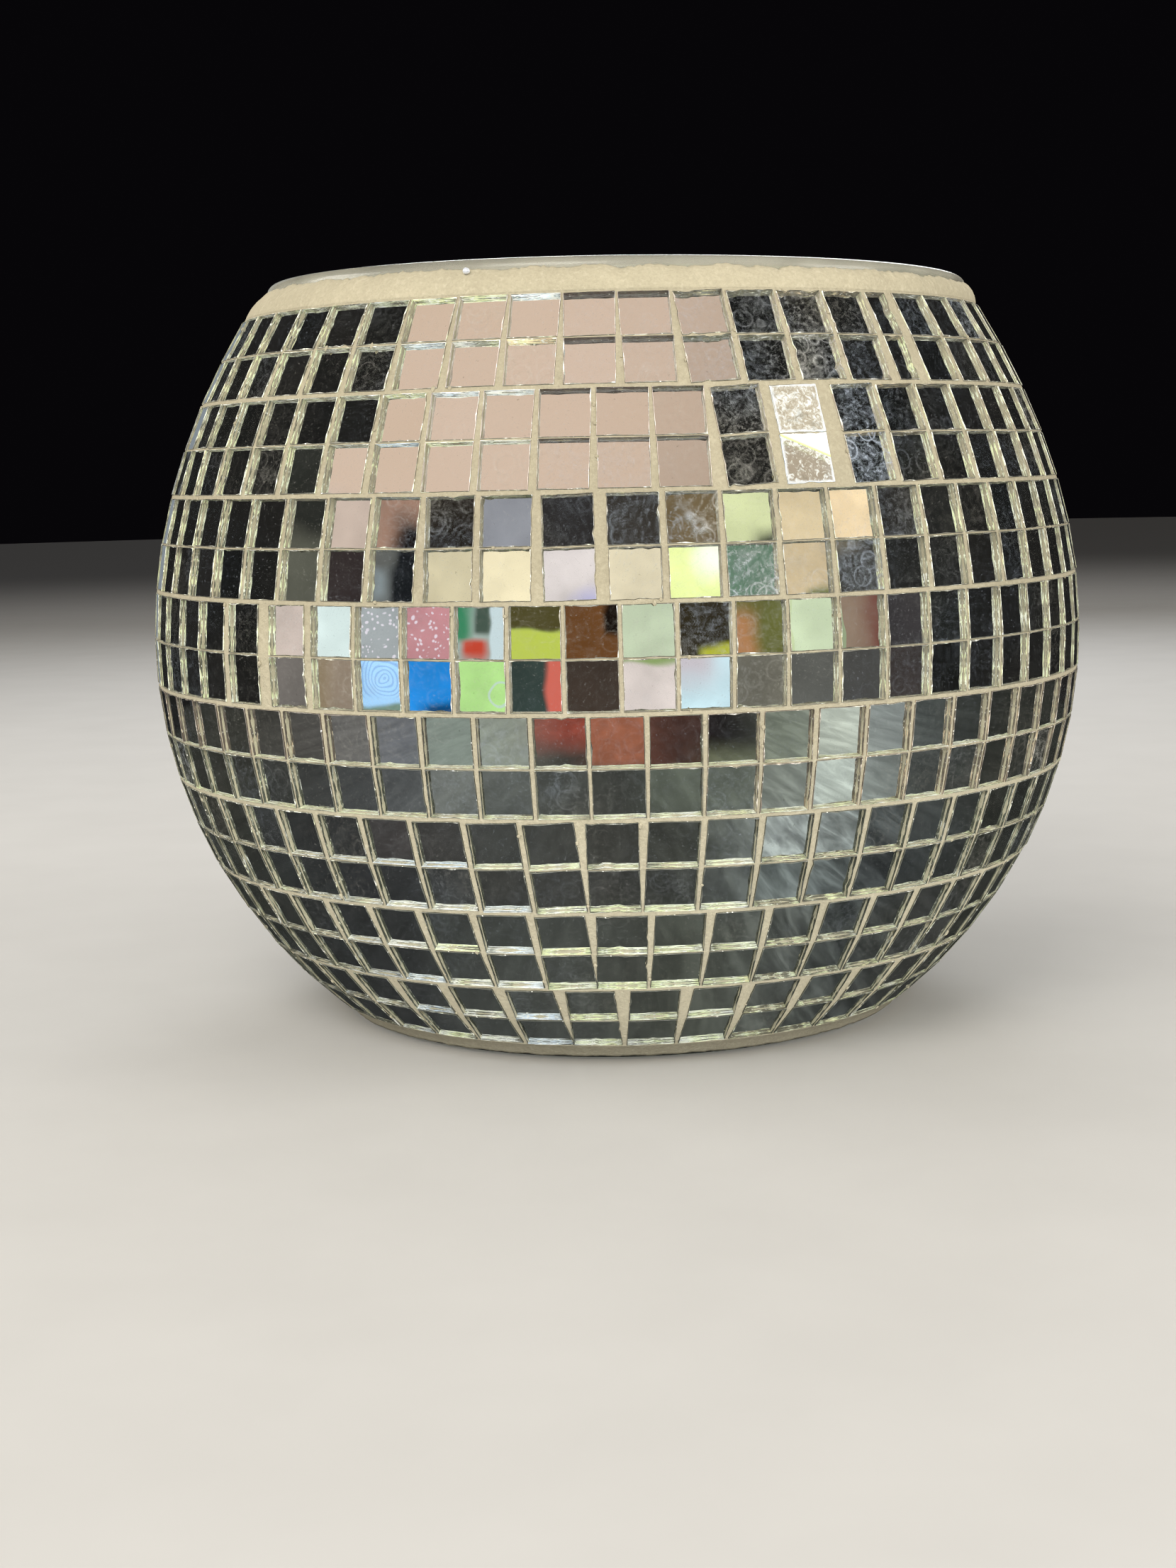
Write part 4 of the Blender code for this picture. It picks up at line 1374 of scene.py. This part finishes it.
# small shapes on the cards: row and azimuth of the tile that shows them, their reach over it
# (left, right, top, bottom; the tile is -1 to 1), softness in degrees, colour
CARD_SHAPES = (
    (4, -24.4, -0.1, 2.2, -0.1, 2.2, 0.40, (24, 18, 18)),
    (5, -24.4, 0.05, 2.2, -2.2, 2.2, 0.16, (28, 30, 33)),
    (5, -24.4, -0.85, -0.15, -0.2, 0.9, 0.22, (140, 150, 155)),
    (4, 14.7, 0.0, 2.2, 0.55, 2.2, 0.30, (80, 84, 70)),
    (5, 20.9, -0.2, 2.2, 0.75, 2.2, 0.22, (96, 112, 50)),
    (5, 27.0, -2.2, 0.0, -2.2, -0.5, 0.30, (120, 110, 92)),
    (6, -14.55, -0.2, 0.5, -2.2, 0.0, 0.14, (72, 90, 80)),
    (6, -14.55, -2.2, -0.35, -2.2, 0.35, 0.18, (66, 142, 104)),
    (6, -14.55, -0.65, 0.30, 0.35, 1.0, 0.15, (208, 74, 54)),
    (6, -14.55, 0.42, 2.2, -2.2, 2.2, 0.05, (214, 231, 238)),
    (6, -8.8, -2.2, 2.2, -2.2, -0.15, 0.10, (84, 78, 44)),
    (6, -8.8, -2.2, 2.2, -0.15, 2.2, 0.06, (200, 214, 92)),
    (6, -3.0, 0.55, 2.2, -2.2, 0.1, 0.12, (26, 18, 14)),
    (6, 8.8, -0.2, 2.2, 0.62, 2.2, 0.16, (190, 192, 60)),
    (6, 14.45, -2.2, -0.25, -0.6, 2.2, 0.30, (186, 134, 92)),
    (6, 26.2, 0.15, 2.2, -2.2, 2.2, 0.40, (122, 76, 68)),
    (7, -20.2, -0.3, 2.2, 0.62, 2.2, 0.16, (18, 76, 128)),
    (7, -26.0, -2.2, 2.2, 0.80, 2.2, 0.07, (124, 152, 140)),
    (7, -32.0, -2.2, -0.1, -2.2, 2.2, 0.30, (150, 132, 108)),
    (7, -8.8, 0.38, 2.2, -2.2, 2.2, 0.10, (222, 112, 98)),
    (7, 3.0, -2.2, 2.2, -2.2, -0.80, 0.10, (150, 172, 112)),
    (7, 8.8, -2.2, 0.4, -2.2, -0.1, 0.45, (214, 206, 216)),
)
# dimmer panels behind: azimuths, elevations, linear colour
BACK_PANELS = (
    (153, 172, 22, 48, (0.36, 0.34, 0.30)),
    (-176, -156, -6, 20, (0.26, 0.29, 0.33)),
    (-166, -150, 40, 64, (0.34, 0.31, 0.29)),
    (174, 180, 4, 22, (0.34, 0.31, 0.22)),
)
EYE = np.array([0.0, -515.43, 116.97 + LOWEST_ROW_Z])  # the camera's place


def tile_at(row, azimuth):
    in_row = (tile for tile in TILES if tile.row == row)
    return min(in_row, key=lambda tile: abs(tile.azimuth - azimuth))


def seen_in(tile, x, y):
    """Azimuth and elevation mirrored to the camera by a point of a tile, from -1 to 1."""
    lean_across, lean_down = (math.tan(tilt) for tilt in tile.tilt)
    normal = np.cross(tile.down + lean_down * tile.out, tile.across + lean_across * tile.out)
    normal /= np.linalg.norm(normal)
    ray = tile.place([[x * tile.width / 2, y * tile.height / 2]], 0.0)[0] - EYE
    ray /= np.linalg.norm(ray)
    ray = ray - 2 * (ray @ normal) * normal
    return math.degrees(math.atan2(ray[0], -ray[1])), math.degrees(math.asin(ray[2]))


class Sky:
    """The surroundings' colour, built up from the dark by laying shapes over it."""

    def __init__(self, shader):
        self.shader = shader
        self.x, y, self.z = shader.split(shader.place)
        self.front = y * -1
        self.azimuth = self.x.math("ARCTAN2", self.front) * TO_DEGREES
        self.elevation = self.z.math("ARCSINE") * TO_DEGREES
        clouds = shader.noise(3).rise(0.35, 0.65)
        self.colour = clouds.mix((0.0095, 0.0096, 0.0096), (0.0185, 0.0172, 0.0160))

    def lay(self, mask, colour):
        self.colour = mask.mix(self.colour, colour)

    def window(self, left, right, low, high, soft, soft_ends=None):
        sides = self.azimuth.between(left, right, soft)
        return sides * self.elevation.between(low, high, soft_ends or soft)

    def distance_from(self, azimuth, elevation):
        aside = (self.azimuth - azimuth).math("ABSOLUTE").math("POWER", 2.0)
        above = (self.elevation - elevation).math("ABSOLUTE").math("POWER", 2.0)
        return (aside + above).math("POWER", 0.5)

    def overhead_panel(self):
        """A pinkish-white soft panel overhead, a little to the front left."""
        above = self.z.max(0.05)
        x, front = self.x / above, self.front / above
        slanted = front - x * 0.28
        panel = x.between(-2.75, 0.53, 0.03) * slanted.between(0.22, 1.86, 0.03)
        panel = panel * front.above(x.math("ABSOLUTE") * 0.23 + -0.05)
        clouds = self.shader.noise(5, detail=3).rise(0.35, 0.65)
        colour = clouds.mix((0.735, 0.545, 0.425), (0.775, 0.585, 0.475))
        ends = (x * 0.5 + 0.5).ramp((0.42, 1.0), (0.565, 0.95), (0.67, 0.86), (0.74, 0.74))
        self.lay(panel, colour.tinted(ends))

    def card_rows(self):
        share = ((self.azimuth + 95) / 190).clamped()
        shade = self.shader.noise(46).ramp((0.30, 0.86), (0.70, 1.14)) * 1.13
        shade = self.shader.get("CombineColor", shade, shade, shade)
        for low, high, cards in CARD_ROWS:
            stops = (((left + 95) / 190, linear(*rgb)) for left, *rgb in cards)
            row = share.ramp(*stops, interpolation="CONSTANT").tinted(shade)
            inside = self.elevation.between(low, high, 0.35)
            self.lay(inside * self.azimuth.between(-94.0, 94.0, 0.5), row)

    def marks_on_cards(self):
        # beads of light
        beads = self.shader.voronoi(430).fall(0.22, 0.34)
        beads = beads * self.window(-64.0, -39.5, -1.0, 7.0, soft=0.4)
        self.lay(beads * 0.75, (1.0, 0.92, 1.05))
        # fine rings
        ripple = (self.distance_from(-58.0, -7.6) * 58).math("SINE").rise(0, 1, top=0.5)
        inside = self.window(-64.0, -52.0, -8.1, -4.0, soft=0.4, soft_ends=0.1)
        self.lay(ripple * inside, (0.20, 0.36, 0.80))
        for azimuth, elevation, reach, colour in SPOTS:
            share = (self.distance_from(azimuth, elevation) / (reach * 1.6)).clamped()
            spot = share.ramp((0.0, 1.0), (1.0, 0.0), interpolation="EASE")
            self.lay(spot * 0.85, colour)
        for row, azimuth, x0, x1, y0, y1, soft, colour in CARD_SHAPES:
            tile = tile_at(row, azimuth)
            x, y = (x0 + x1) / 2, (y0 + y1) / 2
            sides = sorted((seen_in(tile, x0, y)[0], seen_in(tile, x1, y)[0]))
            ends = sorted((seen_in(tile, x, y0)[1], seen_in(tile, x, y1)[1]))
            self.lay(self.window(*sides, *ends, soft), linear(*colour))
        # a pale ring
        away = self.distance_from(*seen_in(tile_at(7, -14.55), 0.80, 0.25))
        ring = away.ramp((0.27, 0.0), (0.30, 1.0), (0.34, 1.0), (0.37, 0.0))
        self.lay(ring * 0.8, linear(206, 228, 222))


def build_world():
    world = bpy.data.worlds.new("studio")
    bpy.context.scene.world = world
    shader = Shader(world, "World", "Generated")
    sky = Sky(shader)
    sky.overhead_panel()
    sky.card_rows()
    sky.marks_on_cards()
    for *edges, colour in BACK_PANELS:
        sky.lay(sky.window(*edges, soft=0.6), colour)

    def background(colour, strength=1.0):
        return shader.get("Background", Color=colour, Strength=strength)

    # dark to the camera, the sky to mirrors, an even fill after a diffuse bounce
    path = shader.get("LightPath")
    view = background((0.0022, 0.0019, 0.0025))
    direct = path.out("Is Camera Ray").mix_shader(background(sky.colour), view)
    fill = background((1.0, 0.96, 0.90), strength=0.64)
    shader.finish(path.out("Diffuse Depth").above(0.5).mix_shader(direct, fill))
    world.cycles.sampling_method = "NONE"


build_world()

# --------------------------------------------------------------------------
# Lights, in metres: name, place, size, radiance, colour
# --------------------------------------------------------------------------
LIGHT_TARGET = Vector((0.0, 0.0, 0.085))
SOFT_CARDS = (
    ("card_key", (-0.35, -0.85, 0.85), (0.7, 0.5), 7.6, (1.0, 0.95, 0.88)),
    ("card_right", (1.0, -0.25, 0.45), (0.5, 0.5), 5.8, (1.0, 0.96, 0.90)),
    ("card_left", (-1.0, 0.15, 0.45), (0.5, 0.5), 5.8, (1.0, 0.96, 0.90)),
    ("card_back", (0.1, 1.0, 0.6), (0.6, 0.4), 5.4, (0.95, 0.97, 1.0)),
    ("card_low", (0.15, -1.1, 0.16), (0.9, 0.22), 10.0, (0.98, 0.98, 0.97)),
)


def soft_card(name, location, size, radiance, colour):
    """A glowing card that gives light and highlights but is not seen through the glass."""
    mat = new_material(name)
    skip = mat.get("LightPath").out("Is Transmission Ray")
    glow = mat.get("Emission", Color=colour, Strength=radiance)
    material = mat.finish(skip.mix_shader(glow, mat.transparent()))
    quad = bmesh.new()
    x, y = size[0] / 2, size[1] / 2
    corners = ((-x, y, 0), (x, y, 0), (x, -y, 0), (-x, -y, 0))
    quad.faces.new([quad.verts.new(corner) for corner in corners])
    mesh = bpy.data.meshes.new(name)
    quad.to_mesh(mesh)
    quad.free()
    mesh.materials.append(material)
    obj = link_object(name, mesh)
    obj.location = location
    obj.rotation_mode = "QUATERNION"
    obj.rotation_quaternion = (LIGHT_TARGET - Vector(location)).to_track_quat("-Z", "Y")
    obj.visible_camera = False
    obj.visible_shadow = False
    material.cycles.emission_sampling = "FRONT"


for card in SOFT_CARDS:
    soft_card(*card)

# --------------------------------------------------------------------------
# Camera
# --------------------------------------------------------------------------
YAW, PITCH, ROLL = -0.01398, -0.13916, 0.02330  # radians


def build_camera():
    camera = bpy.data.cameras.new("camera")
    obj = link_object("camera", camera)
    camera.sensor_width = 36.0
    camera.lens = 51.998192
    camera.clip_start = 0.01
    level = math.cos(PITCH)
    forward = Vector((math.sin(YAW) * level, math.cos(YAW) * level, math.sin(PITCH)))
    right = Vector((math.cos(YAW), -math.sin(YAW), 0.0))
    down = forward.cross(right)
    rolled_right = math.cos(ROLL) * right + math.sin(ROLL) * down
    rolled_down = -math.sin(ROLL) * right + math.cos(ROLL) * down
    turn = Matrix((rolled_right, -rolled_down, -forward)).transposed().to_4x4()
    obj.matrix_world = Matrix.Translation(Vector(EYE * MM)) @ turn
    bpy.context.scene.camera = obj


build_camera()
cycles = bpy.context.scene.cycles
cycles.use_denoising = True
cycles.denoising_prefilter = "ACCURATE"
cycles.filter_width = 1.2
bpy.context.scene.view_settings.view_transform = "Standard"
